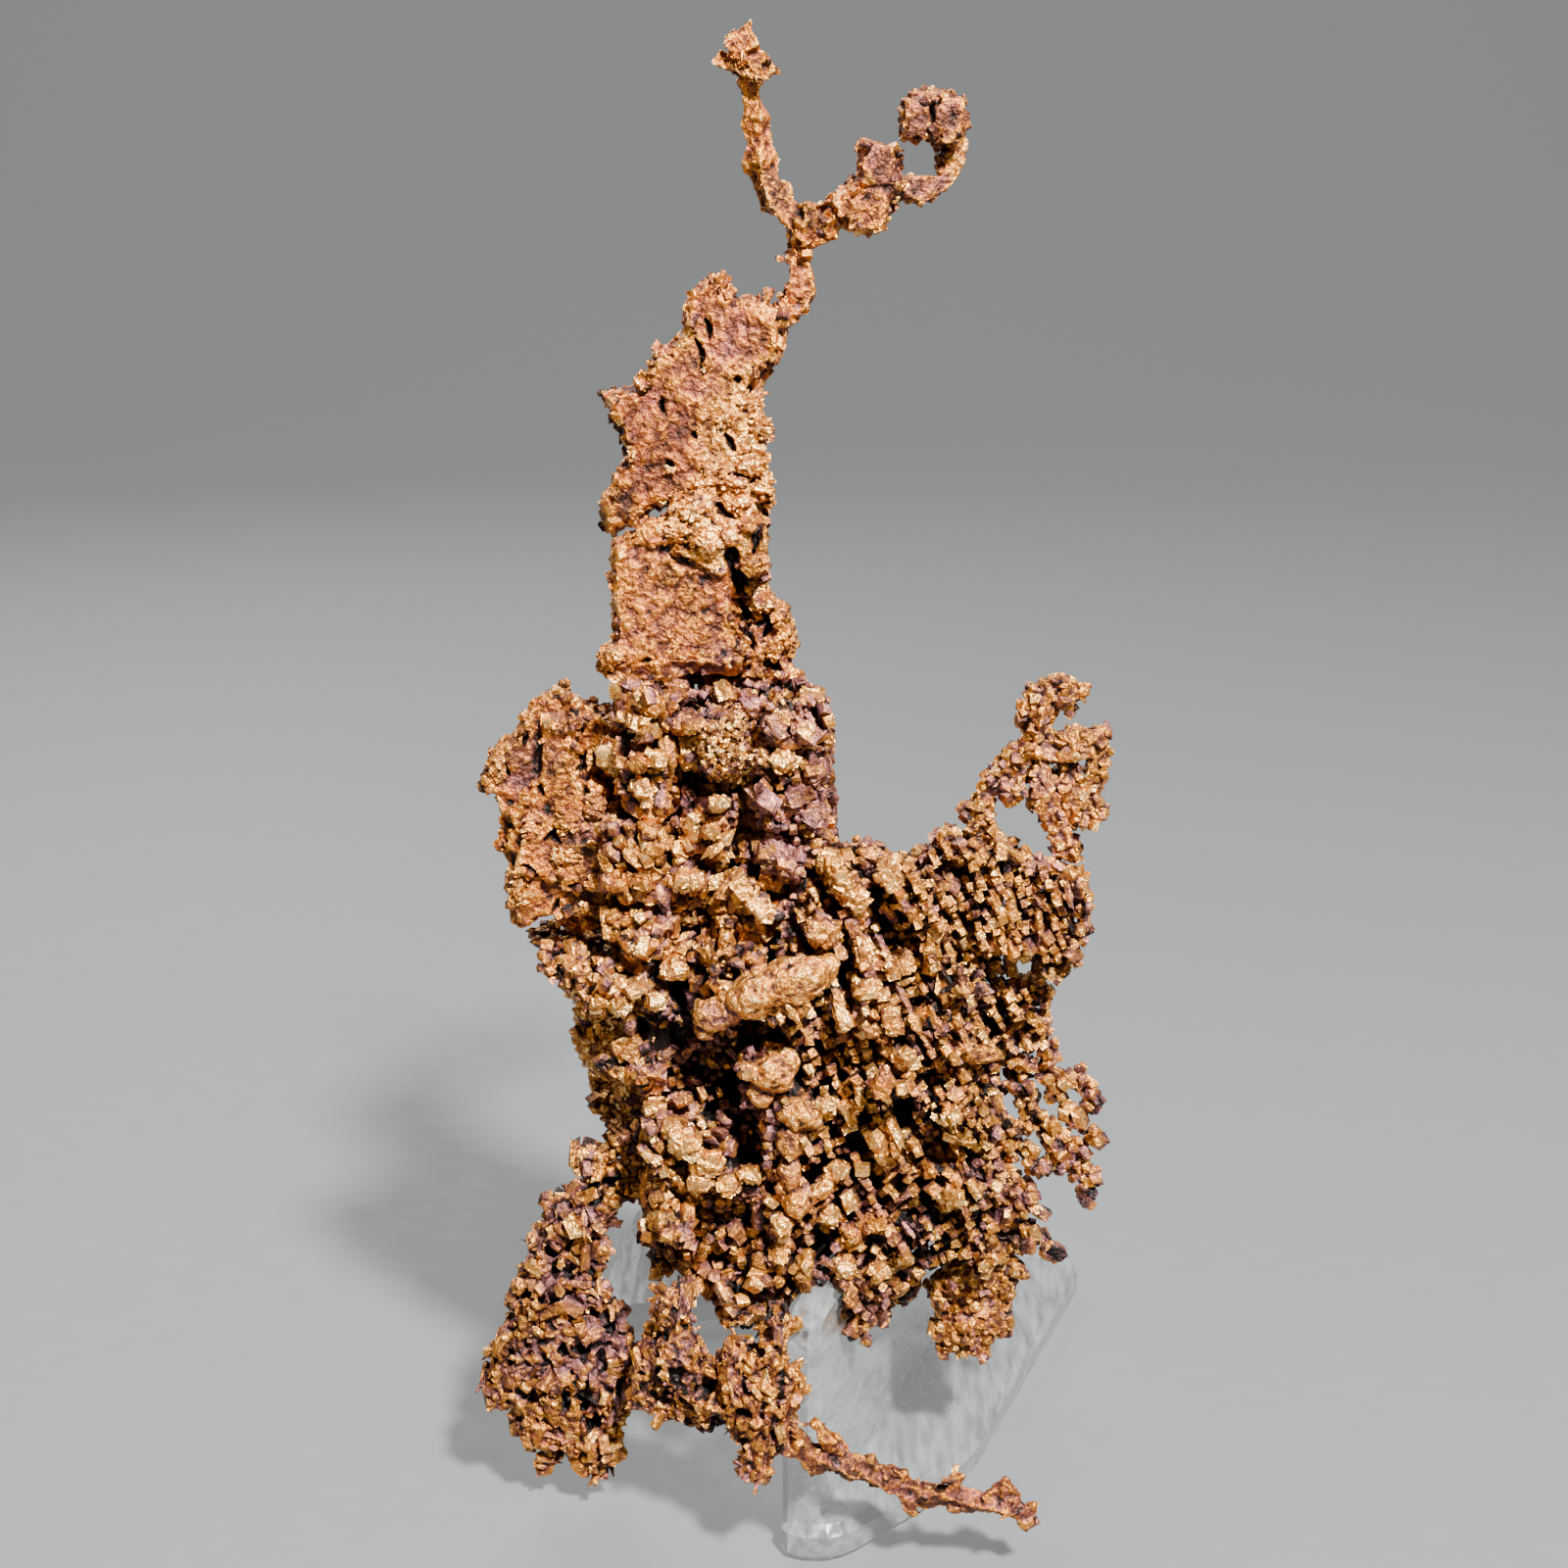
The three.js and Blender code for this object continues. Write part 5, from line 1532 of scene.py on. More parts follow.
@dataclass
class Branch(CopperPiece):
    """Branch of the copper, with small crystals over it or along its edges.

    spread and fringe are the distances in mm between crystals all over it and along its
    edges alone, half their half width, stretch how long they are, inset how deep they
    stand in it, and lay the way that they point, in degrees from u toward v. pocket is the
    depth in mm of the pockets between them, and joints are u, v and depth of places where
    it meets a neighbour.
    """

    spread: float = 0.0
    fringe: float = 0.0
    habits: tuple[Habit, ...] = (Habit.BLOCK, Habit.BLOCK, Habit.KNOB)
    half: float = 0.3
    stretch: float = 1.2
    inset: float = 0.3
    features: tuple[Feature, ...] = ()
    joints: tuple[tuple[float, float, float], ...] = ()
    joint_chips: int = 16
    joint_spread: float = 0.4
    joint_half: float = 0.34
    lay: float | None = None
    pocket: float = 0.0
    pocket_shade: float = 0.9
    seed: int = 1

    def build(self, bench: SeedBench, finish: bpy.types.Material) -> bpy.types.Object:
        """Builds and dresses the branch.

        Args:
            bench: the seed crystals.
            finish: its material.

        Returns:
            The finished piece.
        """
        obj = self.fuse(merged_copy(self.node, self.name))
        if self.pocket:
            self.gnawed(obj)
        bed = self.crust(bench)
        if bed.count():
            obj = joined(obj, bed.piece(f"{self.name}_crust"))
        return self.dress(obj, finish)

    def gnawed(self, obj: bpy.types.Object) -> None:
        """Presses the pockets between the crystals into the skin and darkens them.

        Args:
            obj: the branch's skin.
        """
        corners, _ = arrays_of(obj.data)
        marks = SHEET.marks(corners / MM)
        deep = np.array([self.in_pocket(u, v) for u, v in marks.tolist()])
        corners -= normals_of(obj.data) * (deep * self.pocket * MM)[:, None]
        # pocket_shade lowers the relief in the pockets, which paints shade in them
        relief = np.empty(len(corners), dtype=np.float32)
        values = obj.data.attributes["relief"].data
        values.foreach_get("value", relief)
        values.foreach_set("value", relief - self.pocket_shade * deep.astype(np.float32))
        set_corners(obj, corners)

    @staticmethod
    def in_pocket(u: float, v: float) -> float:
        """How deep in a pocket between the crystals a sheet point lies.

        Args:
            u: sheet steps to the right.
            v: sheet steps down.

        Returns:
            0 outside the pockets to 1 at their bottom.
        """
        above_tip = unit((TIP_ROW - v) / TIP_FADE)
        dent = dents(u, POCKET_SHORTER * v, POCKET_SIZE)
        return above_tip * unit(POCKET_STEEP * (dent - POCKET_RIM))

    def crust(self, bench: SeedBench) -> CrystalBed:
        """Grows the small crisp crystals of the branch.

        Args:
            bench: the seed crystals.

        Returns:
            The crystals.
        """
        random = np.random.default_rng(self.seed)
        bed = CrystalBed(bench, random)
        skin = Skin(self.node)
        if self.spread or self.fringe:
            for place, normal in skin.scatter(self.spread or self.fringe, random):
                if self.spread or abs(normal.y) < EDGE_FACING:
                    self.chip(bed, place, normal, self.half)
        for it in self.features:
            self.outcrop(bed, skin, it)
        for joint in self.joints:
            for _ in range(self.joint_chips):
                stray = Vector(random.normal(0, self.joint_spread, 3))
                self.chip(bed, SHEET.at(*joint) + stray, stray.normalized(), self.joint_half)
        return bed

    def chip(self, bed: CrystalBed, place: Vector, normal: Vector, half: float) -> None:
        """Grows one small crystal.

        Args:
            bed: where it is added.
            place: its place in mm.
            normal: direction away from the branch.
            half: half size in mm.
        """
        random = bed.random
        habit = self.habits[int(random.integers(len(self.habits)))]
        half *= float(random.uniform(0.55, 1.4))
        along = Vector(random.normal(0, 1, 3))
        if self.lay is not None:
            turn = math.radians(self.lay) + float(random.normal(0, 0.5))
            along = Vector((math.cos(turn), float(random.normal(0, 0.4)), -math.sin(turn)))
        stretch = 1 + (self.stretch - 1) * float(random.random())
        u, v = (float(c) for c in SHEET.marks(np.array([place]))[0])
        if self.pocket and self.in_pocket(u, v) > POCKET_BARE:
            return
        tone = chance_tone(TARNISH.at(u, v), random)
        bed.grow(
            habit, place - normal * self.inset * half, along, normal,
            (half * stretch, half, half), tone, 0.1 * float(random.random()), tilt=0.5,
        )

    @staticmethod
    def outcrop(bed: CrystalBed, skin: Skin, it: Feature) -> None:
        """Grows a lump of small blocks on the front of the branch.

        Args:
            bed: where they are added.
            skin: the branch's surface.
            it: the lump.
        """
        random = bed.random
        count = int(5 + it.length * it.width / (0.85 * it.grain**2))
        stretch = 2.3 if it.habit in (Habit.ROD, Habit.SHARD) else 1.3
        for u, v, out in it.spots(count, 0.8, random):
            hit = skin.front(u, v)
            if not hit:
                continue
            half = it.grain * float(random.uniform(0.73, 1.27)) * (1.2 - 0.4 * out) * PX
            rise = it.lift + 0.3 * (1 - out * out) - half
            turn = math.radians(it.turn) + float(random.normal(0, 0.45))
            bed.grow(
                it.habit, hit[0] + Vector((0, -rise, 0)), heading(turn), Vector((0, -1, 0.2)),
                (half * stretch, half, half), chance_tone(it.tone, random), tilt=0.35,
            )


class Layer(NamedTuple):
    """Layer of parallel ranks in the fan, with half and gap in sheet steps.

    turn is in degrees from the long ranks, shift how far it is moved over as a share of
    the gap, depth and rise are mm below the envelope and above the layer, and sink is how
    deep its recesses are, which darkens the lower layers with painted shade. Of its runs, the
    share bare is empty and rods up to the share rodded.
    """

    turn: float
    gap: float
    half: float
    depth: float
    sink: float
    bow: float
    shift: float
    rise: float
    rise_spread: float
    bare: float
    rodded: float


CUBE_PACE = 2.3  # half widths from one cube of a run to the next
LAYERS = (  # the upper ranks, those that cross under them, and the lowest
    Layer(0, 17.0, 4.2, -0.15, 0.0, 0, 0.0, 0.1, 0.3, 0.16, 0.34),
    Layer(90, 13.0, 3.5, 0.55, 0.2, 1, 0.0, 0.0, 0.2, 0.42, 0.48),
    Layer(0, 17.0, 4.2, 1.6, 0.75, 2, 0.5, 0.0, 0.2, 0.3, 0.4),
)


@dataclass
class CrystalFan:
    """Fan of blocky crystals in crossing ranks, over a dark inner mass.

    core_depth is how deep the inner mass lies in mm and core_share the same as a share of
    the thickness, pit_depth how deep its hollows are. The inner mass is painted nearly black
    as shade in the gaps between the crystals, and low_shade darkens the crystals of chance
    tone below shade_top with painted shade, fading in over shade_fade rows. middle, reach and
    the other places are on the sheet. A dent has a depth in mm and a size in sheet steps. The
    ranks sway by some degrees in waves of some sheet steps, and turn by a degree in every
    fan_rate rows from fan_row.
    """

    bench: SeedBench
    node: str = "crystal_body"
    slot: str = "copper_crystal"
    core_depth: float = 2.3
    core_share: float = 0.36
    pit_depth: float = 2.2
    rank_turn: float = 64.0
    sway: tuple[float, float] = (9.0, 7.0)
    sway_waves: tuple[float, float, float] = (95.0, 80.0, 60.0)
    fan_row: float = 1050.0
    fan_rate: float = 28.0
    middle: tuple[float, float] = (860.0, 1120.0)
    reach: float = 460.0
    ranks_a_side: int = 40
    column_edge: float = 815.0
    neck_edge: float = 860.0
    neck_foot: float = 880.0
    shade_top: float = 1190.0
    shade_fade: float = 90.0
    low_shade: float = 0.22
    rod_room: float = 16.0
    rim_room: float = 13.0
    rim_half: float = 0.36
    rank_dent: tuple[float, float] = (0.55, 30.0)
    knot_dent: tuple[float, float] = (2.4, 17.0)
    tuft_dent: tuple[float, float] = (1.1, 7.0)
    needle_count: int = 820
    seed: int = 7

    def __post_init__(self) -> None:
        """Surveys the fan and readies the beds of its pieces."""
        self.skin = Skin(self.node)
        self.survey = Survey(self.skin)
        self.random = np.random.default_rng(self.seed)
        self.beds = {name: CrystalBed(self.bench, self.random) for name in FAN_BEDS}

    def build(self, finish: bpy.types.Material, calm: bpy.types.Material) -> None:
        """Builds the fan's pieces.

        Args:
            finish: material of the crystals.
            calm: material of the swollen lumps.
        """
        self.core(finish)
        self.ranks(1)
        self.ranks(-1)
        self.knots()
        self.features()
        self.needles()
        for name, bed in self.beds.items():
            LOG.info("%s: %d crystals", name, bed.count())
            if name == "lumps":
                maker = CopperPiece(
                    name, self.node, self.slot, voxel=0.12, coats=LUMP_COATS, budget=52000,
                    relief_rounds=12, relief_height=0.12,
                )
                maker.dress(maker.fuse(bed.piece(name, 0.03), bed), calm)
            else:
                CopperPiece(name, self.node, self.slot).dress(bed.piece(name), finish)

    def core(self, finish: bpy.types.Material) -> None:
        """Builds the dark inner mass that the crystals stand on.

        Args:
            finish: its material.
        """
        # drop lowers the core's relief so that it is painted nearly black, as shade in the gaps
        # between the crystals
        maker = CopperPiece(
            "fan_core", self.node, self.slot, voxel=0.3, budget=25000, relief_rounds=10,
            relief_height=0.3, drop=1.0,
        )
        obj = maker.fuse(merged_copy(self.node, maker.name))
        sunk_in(obj, self.core_depth, self.core_share)
        corners, _ = arrays_of(obj.data)
        marks = SHEET.marks(corners / MM)
        for i, (u, v) in enumerate(marks.tolist()):
            if corners[i, 1] / MM < SHEET.copper_plane:
                pit = min(1.0, 1.8 * hollow(u, v)) * self.pit_depth * MM
                corners[i, 1] = min(corners[i, 1] + pit, SHEET.copper_plane * MM)
        set_corners(obj, corners)
        coat(obj, Coat.VORONOI, 0.9, -0.6)
        coat(obj, Coat.CLOUDS, 0.5, 0.3)
        maker.tarnish(obj)
        maker.dress(obj, finish)

    def bed_for(self, u: float, side: int) -> CrystalBed:
        """The bed that a crystal at a sheet point belongs to."""
        part = "fan" if u > self.column_edge else "column"
        return self.beds[f"{part}_{'front' if side > 0 else 'rear'}"]

    def turn(self, u: float, v: float) -> float:
        """Direction of the long ranks at a sheet point.

        Args:
            u: sheet steps to the right.
            v: sheet steps down.

        Returns:
            Radians from u toward v.
        """
        (broad, fine), (a, b, c) = self.sway, self.sway_waves
        bend = broad * math.sin(u / a) * math.cos(v / b) + fine * math.sin((u + v) / c)
        return math.radians(self.rank_turn + bend - (v - self.fan_row) / self.fan_rate)

    def ranks(self, side: int) -> None:
        """Grows the crossing ranks of rods and cubes, the upper over the lower.

        Args:
            side: 1 for the front, -1 for the rear.
        """
        random = self.random
        for layer in LAYERS:
            axis = math.radians(self.rank_turn + layer.turn)
            along = (math.cos(axis), math.sin(axis))
            for k in range(-self.ranks_a_side, self.ranks_a_side + 1):
                s = -self.reach + random.uniform(0, 20)
                while s < self.reach:
                    row = (k + layer.shift) * layer.gap + random.normal(0, 0.8)
                    u = self.middle[0] + s * along[0] - row * along[1]
                    v = self.middle[1] + s * along[1] + row * along[0]
                    bow = 7 * math.sin(u / 70 + layer.bow) + 6 * math.sin(v / 55 + k * 0.3)
                    s += self.run(side, u + bow * along[1], v - bow * along[0], layer)
                    s += float(random.uniform(0, 4))

    def run(self, side: int, u: float, v: float, layer: Layer) -> float:
        """Grows one run of a rank: a rod, a few cubes or a gap.

        Args:
            side: 1 for the front, -1 for the rear.
            u: where the run starts.
            v: where the run starts.
            layer: the layer that it is in.

        Returns:
            The run's length in sheet steps.
        """
        random = self.random
        room = self.survey.look(u, v, side)[1]
        if room <= 0:
            return 10.0
        on_neck = v < self.neck_foot and u < self.neck_edge
        if on_neck or any(knot.holds(u, v) > 0 for knot in KNOTS):
            return 12.0
        axis = self.turn(u, v) + math.radians(layer.turn)
        pick = random.random()
        deep, size = self.rank_dent
        rise = float(random.normal(layer.rise, layer.rise_spread)) - deep * dents(u, v, size)
        width = min(layer.half * float(random.uniform(0.75, 1.25)), room * 0.5 + 2.5)
        if self.survey.thick(u, v) < 2 * layer.depth + 1.0:
            return 10.0
        if pick < layer.bare:
            return float(random.uniform(6, 16))
        if pick < layer.rodded and room > self.rod_room:
            length = float(random.uniform(16, 32))
            mid_u, mid_v = u + math.cos(axis) * length / 2, v + math.sin(axis) * length / 2
            self.single(
                Habit.ROD, mid_u, mid_v, side, axis, (length / 2, width, width), rise,
                layer.depth, layer.sink,
            )
            return length
        cubes = int(random.integers(2, 5))
        for step in range(cubes):
            uu = u + math.cos(axis) * step * width * CUBE_PACE + float(random.normal(0, 0.8))
            vv = v + math.sin(axis) * step * width * CUBE_PACE + float(random.normal(0, 0.8))
            cube = width * float(random.uniform(0.75, 1.15))
            habit = Habit.BLOCK if random.random() < 0.8 else Habit.KNOB
            self.single(
                habit, uu, vv, side, axis, (cube * 1.15, cube, cube * 1.25),
                rise + float(random.normal(0, 0.2)), layer.depth, layer.sink,
            )
        return cubes * width * CUBE_PACE

    def single(
        self, habit: Habit, u: float, v: float, side: int, axis: float,
        half: tuple[float, float, float], rise: float, depth: float = 0.0, sink: float = 0.0,
        tone: Tone | None = None, bed: CrystalBed | None = None,
    ) -> None:
        """Grows one crystal at a sheet point.

        Args:
            habit: its shape.
            u: sheet steps to the right.
            v: sheet steps down.
            side: 1 for the front, -1 for the rear.
            axis: direction of its long side, in radians from u toward v.
            half: half sizes in sheet steps.
            rise: mm that it stands out.
            depth: mm that its layer lies below the envelope.
            sink: how deep its recess is.
            tone: its tone, or None for a chance one.
            bed: the bed that it joins, or None for the one of its place.
        """
        level, room = self.survey.look(u, v, side)
        if room <= 0 or (tone is None and side > 0 and hollow(u, v) > HOLLOW_BARE):
            return
        if tone is None:
            tone = chance_tone(TARNISH.at(u, v), self.random)
            sink += self.low_shade * unit((v - self.shade_top) / self.shade_fade)
            limit = room * 0.5 + 3
            half = tuple(min(h, max(limit, 3.5)) for h in half)
        lift = -rise + depth + half[2] * PX * 0.6
        (bed or self.bed_for(u, side)).grow(
            habit, SHEET.at(u, v, level + side * lift), heading(axis),
            Vector((0, -side, 0.12)), tuple(h * PX for h in half), tone, sink,
        )

    def features(self) -> None:
        """Grows the crystals and lumps of the front that stand out by themselves."""
        for it in FEATURES:
            if it.habit is Habit.KNOB:
                self.cluster(it)
                continue
            half = (it.length, it.width, min(it.width, it.length))
            if it.habit is Habit.SLAB:
                half = (it.length, 0.9 * it.width, it.width)
            bed = self.beds["lumps"] if it.habit is Habit.BOSS else None
            self.single(
                it.habit, it.u, it.v, 1, math.radians(it.turn), half, it.lift, tone=it.tone,
                bed=bed,
            )

    def cluster(self, it: Feature) -> None:
        """Grows a lump of small blocks.

        Args:
            it: the lump.
        """
        random = self.random
        count = int(6 + it.length * it.width / 17)
        for u, v, out in it.spots(count, 0.78, random):
            half = float(random.uniform(3.6, 6.0)) * (1.25 - 0.5 * out)
            tone = chance_tone(it.tone, random) if random.random() < 0.5 else it.tone
            axis = math.radians(it.turn) + float(random.normal(0, 0.25))
            self.single(
                Habit.BLOCK, u, v, 1, axis, (half * 1.2, half, half * 1.2),
                it.lift * 1.3 + 0.6 * (1 - out * out) - 0.3, tone=tone,
            )

    def knots(self) -> None:
        """Grows the crystals in no ranks, and those round the rims and thin twigs."""
        for spacing, fine in ((0.74, False), (0.52, True)):
            for place, normal in self.skin.scatter(spacing, self.random):
                u, v = (float(c) for c in SHEET.marks(np.array([place]))[0])
                knot = next((k for k in KNOTS if k.holds(u, v) > 0), None)
                if fine == (knot is not None and knot.half < FINE_HALF):
                    self.loose(place, normal, u, v, knot)

    def loose(
        self, place: Vector, normal: Vector, u: float, v: float, knot: Knot | None,
    ) -> None:
        """Grows one crystal outside the ranks, where it has its room.

        Args:
            place: its place in mm.
            normal: direction away from the fan.
            u: sheet steps to the right.
            v: sheet steps down.
            knot: the knot that it is in, or None at a rim.
        """
        random = self.random
        side = 1 if normal.y < 0 else -1
        if knot is None and self.survey.look(u, v, side)[1] > self.rim_room:
            return
        if knot and side > 0 and (hollow(u, v) > HOLLOW_BARE or TUFT.holds(u, v) > 0.1):
            return
        half = (knot.half if knot else self.rim_half) * float(random.uniform(0.65, 1.3))
        habit = Habit.BLOCK if random.random() < 0.75 else Habit.KNOB
        stretch = 1.8 if random.random() < 0.2 else 1.1
        outer = float(random.normal(0.0, 0.25))
        drop = knot.drop if knot and side > 0 and abs(normal.y) > 0.5 else 0.0
        if knot and self.survey.thick(u, v) > 5:
            deep, size = self.knot_dent
            drop += deep * max(0.0, dents(u, v, size) + 0.02)
        tone = chance_tone(TARNISH.at(u, v), random)
        # a crystal dropped below the surface gets 0.3 * drop of sink, painted as shade
        self.bed_for(u, side).grow(
            habit, place + normal * (outer - 0.6 * half - drop), heading(self.turn(u, v)),
            normal, (half * stretch, half, half), tone, 0.3 * drop, tilt=0.35,
        )

    def needles(self) -> None:
        """Grows the tuft of fine bright crystals on the neck."""
        random = self.random
        deep, size = self.tuft_dent
        for _ in range(self.needle_count):
            out, a = math.sqrt(random.random()), float(random.uniform(0, 2 * math.pi))
            u = TUFT.u + TUFT.ru * out * math.cos(a)
            v = TUFT.v + TUFT.rv * out * math.sin(a)
            level, room = self.survey.look(u, v)
            if room <= 0:
                continue
            half = float(random.uniform(0.1, 0.19))
            high = float(random.uniform(-0.3, 0.9)) + 0.7 * (1 - out * out)
            high -= deep * max(0.0, dents(u, v, size))
            tone = HONEY if random.random() < 0.7 else PLUM
            along = Vector(random.normal(0, 1, 3))
            # the lower a needle stands, the larger its sink, painted as shade
            self.beds["column_front"].grow(
                Habit.BLOCK, SHEET.at(u, v, level - high), along, Vector((0, -1, 0.3)),
                (half * 1.9, half, half), tone, max(0.0, 0.4 - 0.6 * high), tilt=0.6,
            )


@dataclass
class AcrylicStand:
    """Clear stand under the copper: its CAD form is right and only takes its finish."""

    node: str = "acrylic_stand"

    def dress(self, finish: bpy.types.Material) -> None:
        """Gives the stand its finish.

        Args:
            finish: its material.
        """
        obj = frame["nodes"][self.node]
        obj.data.materials.clear()
        obj.data.materials.append(finish)
        LOG.info("%s: %s", self.node, finish.name)


class Lamp(NamedTuple):
    """Soft round lamp: its place and width in metres and its power in watts."""

    name: str
    place: tuple[float, float, float]
    width: float
    power: float


LAMPS = (
    Lamp("key", (0.135, -0.31, 0.41), 0.05, 18.5),
    Lamp("fill", (-0.45, -0.35, 0.25), 0.5, 0.25),
    Lamp("rim", (-0.2, 0.4, 0.4), 0.4, 3.0),
)


@dataclass
class Studio:
    """Pale sweep, soft lights and the camera, with lengths in metres."""

    floor_width: float = 3.0
    floor_depth: float = 1.6
    wall: float = 1.6
    bend: float = 0.5
    bend_steps: int = 16
    floor_colour: str = "#484b4c"
    glow: float = 0.21
    sky_colour: str = "#b9bcbe"
    sky: float = 0.12
    aim: tuple[float, float, float] = (0.0, -0.033, 0.055)
    lens: float = 45.0
    sensor: float = 36.0

    def build(self) -> None:
        """Sets up the stage, the lights and the camera."""
        self.sweep()
        for lamp in LAMPS:
            self.hang(lamp)
        world = bpy.data.worlds.new("soft_room")
        world.use_nodes = True
        sky = world.node_tree.nodes["Background"]
        sky.inputs["Color"].default_value = linear(self.sky_colour)
        sky.inputs["Strength"].default_value = self.sky
        bpy.context.scene.world = world
        camera = bpy.data.cameras.new("camera")
        camera.lens = self.lens
        camera.sensor_width = self.sensor
        view = bpy.data.objects.new("camera", camera)
        view.location = [c * MM for c in SHEET.station]
        view.rotation_euler = (math.pi / 2 - SHEET.tilt, 0, 0)
        bpy.context.scene.collection.objects.link(view)
        bpy.context.scene.camera = view

    def sweep(self) -> None:
        """Models the floor that curves up into a wall."""
        bpy.ops.object.select_all(action="DESELECT")
        bpy.ops.mesh.primitive_plane_add(size=1, location=(0, self.floor_depth / 4, 0))
        floor = bpy.context.object
        floor.name = "floor"
        floor.scale = (self.floor_width, self.floor_depth, 1)
        bpy.ops.object.transform_apply(location=True, scale=True)
        bpy.ops.object.mode_set(mode="EDIT")
        bpy.ops.mesh.select_all(action="DESELECT")
        bpy.ops.object.mode_set(mode="OBJECT")
        back = max(v.co.y for v in floor.data.vertices)
        for edge in floor.data.edges:
            edge.select = all(floor.data.vertices[i].co.y > back - TINY for i in edge.vertices)
        bpy.ops.object.mode_set(mode="EDIT")
        bpy.ops.mesh.select_mode(type="EDGE")
        bpy.ops.mesh.extrude_region_move(TRANSFORM_OT_translate={"value": (0, 0, self.wall)})
        bpy.ops.object.mode_set(mode="OBJECT")
        apply(floor, "BEVEL", width=self.bend, segments=self.bend_steps, limit_method="ANGLE")
        bpy.ops.object.shade_smooth()
        floor.data.materials.append(self.card())

    def card(self) -> bpy.types.Material:
        """Makes the floor's finish, whose faint glow stands for light thrown back by a room.

        Returns:
            The new material.
        """
        mat, surface = blank_material("Matt pale card")
        speck = add_node(mat, "ShaderNodeTexNoise", Scale=900.0, Detail=2.0)
        rough = add_node(
            mat, "ShaderNodeMapRange", Value=speck.outputs["Fac"],
            **{"To Min": 0.55, "To Max": 0.75},
        )
        shader = add_node(
            mat, "ShaderNodeBsdfPrincipled", Roughness=rough.outputs["Result"],
            **{"Base Color": linear(self.floor_colour), "Emission Color": (1, 1, 1, 1),
               "Emission Strength": self.glow},
        )
        mat.node_tree.links.new(shader.outputs[0], surface)
        return mat

    def hang(self, lamp: Lamp) -> None:
        """Hangs a lamp so that it faces the copper.

        Args:
            lamp: the lamp.
        """
        data = bpy.data.lights.new(lamp.name, "AREA")
        data.shape = "DISK"
        data.size = lamp.width
        data.energy = lamp.power
        obj = bpy.data.objects.new(lamp.name, data)
        obj.location = lamp.place
        toward = Vector(self.aim) - Vector(lamp.place)
        obj.rotation_euler = toward.to_track_quat("-Z", "Y").to_euler()
        bpy.context.scene.collection.objects.link(obj)


FINE = (Coat.CLOUDS, 0.25, 0.1)
FAINT = (Coat.CLOUDS, 0.35, 0.07)
SHEET_SLOTS = ("copper_spire", "copper_plate")
SPIRE_CREASES = tuple(Crease(*row) for row in (
    (719, 325, 726, 345, 4), (708, 346, 718, 366, 3.4), (718, 366, 715, 380, 3),
    (675, 406, 678, 420, 4), (741, 443, 747, 461, 5), (683, 473, 686, 478, 4),
    (708, 441, 711, 445, 4), (750, 384, 754, 389, 4), (730, 513, 741, 524, 5),
    (741, 524, 751, 545, 7, 0.8), (645, 536, 664, 528, 4), (664, 528, 679, 519, 4),
    (744, 560, 757, 602, 10, 1.0), (757, 602, 763, 678, 11, 1.3), (756, 416, 775, 420, 4),
    (752, 466, 772, 462, 4), (764, 430, 784, 433, 3.4), (742, 486, 776, 490, 4),
    (700, 506, 730, 500, 4), (688, 561, 714, 551, 4), (783, 522, 768, 562, 6, 0.8),
    (768, 562, 784, 600, 6, 0.8), (784, 600, 782, 652, 6, 0.9), (782, 652, 798, 690, 6, 0.8),
    (764, 640, 800, 634, 5), (776, 586, 812, 590, 5), (788, 668, 814, 664, 4),
))
# The BROWN blocks down the right column are painted shade where it lies in shadow; CREAM rods
# carry a painted highlight.
SPIRE_FEATURES = features_of(
    (ROD, 767, 408, 17, 9, -24, CREAM, 0.1, 2.6), (ROD, 777, 440, 13, 17, -16, HONEY, 0.15, 2.8),
    (ROD, 766, 474, 17, 12, 14, CREAM, 0.15, 2.7), (ROD, 742, 428, 13, 9, -42, HONEY, 0.1, 2.4),
    (ROD, 780, 500, 10, 15, 0, HONEY, 0.2, 2.8), (ROD, 728, 478, 16, 7, -24, PINK, 0.1, 2.4),
    (ROD, 716, 492, 20, 7, -8, CREAM, 0.1, 2.4), (ROD, 748, 492, 18, 8, 8, PINK, 0.15, 2.5),
    (ROD, 757, 512, 13, 8, -10, CREAM, 0.1, 2.6), (ROD, 706, 521, 15, 11, -20, HONEY, 0.2, 2.8),
    (BLOCK, 722, 553, 19, 14, 10, HONEY, 0.3, 3.0), (BLOCK, 745, 545, 9, 12, 0, HONEY, 0.3, 2.8),
    (ROD, 690, 541, 15, 8, -10, HONEY, 0.15, 2.6), (BLOCK, 765, 530, 10, 12, 0, BROWN, 0.3, 3.4),
    (BLOCK, 771, 576, 11, 15, 80, Tone(0.3, 0.3, 0.5), 0.4, 4.0),
    (BLOCK, 778, 612, 12, 13, 0, BROWN, 0.4, 4.0), (BLOCK, 797, 620, 10, 17, 0, BROWN, 0.3, 4.0),
    (BLOCK, 805, 652, 9, 18, 0, RUST, 0.3, 3.6), (BLOCK, 788, 662, 11, 15, 0, BROWN, 0.2, 3.4),
    (BLOCK, 812, 690, 7, 12, 0, BROWN, 0.2, 3.2), (SHARD, 736, 288, 8, 14, 80, RUST, 0.1, 2.6),
    (BLOCK, 628, 668, 12, 10, 0, HONEY, 0.1, 3.0), (ROD, 652, 392, 10, 3, 50, CREAM, 0.1, 1.8),
    (ROD, 645, 463, 8, 3, 70, CREAM, 0.1, 1.8), (ROD, 684, 479, 7, 3, 0, CREAM, 0.1, 1.6),
    (ROD, 721, 373, 8, 3, -60, CREAM, 0.1, 1.6), (ROD, 700, 668, 44, 5, -5, RUST, 0.1, 2.4),
)
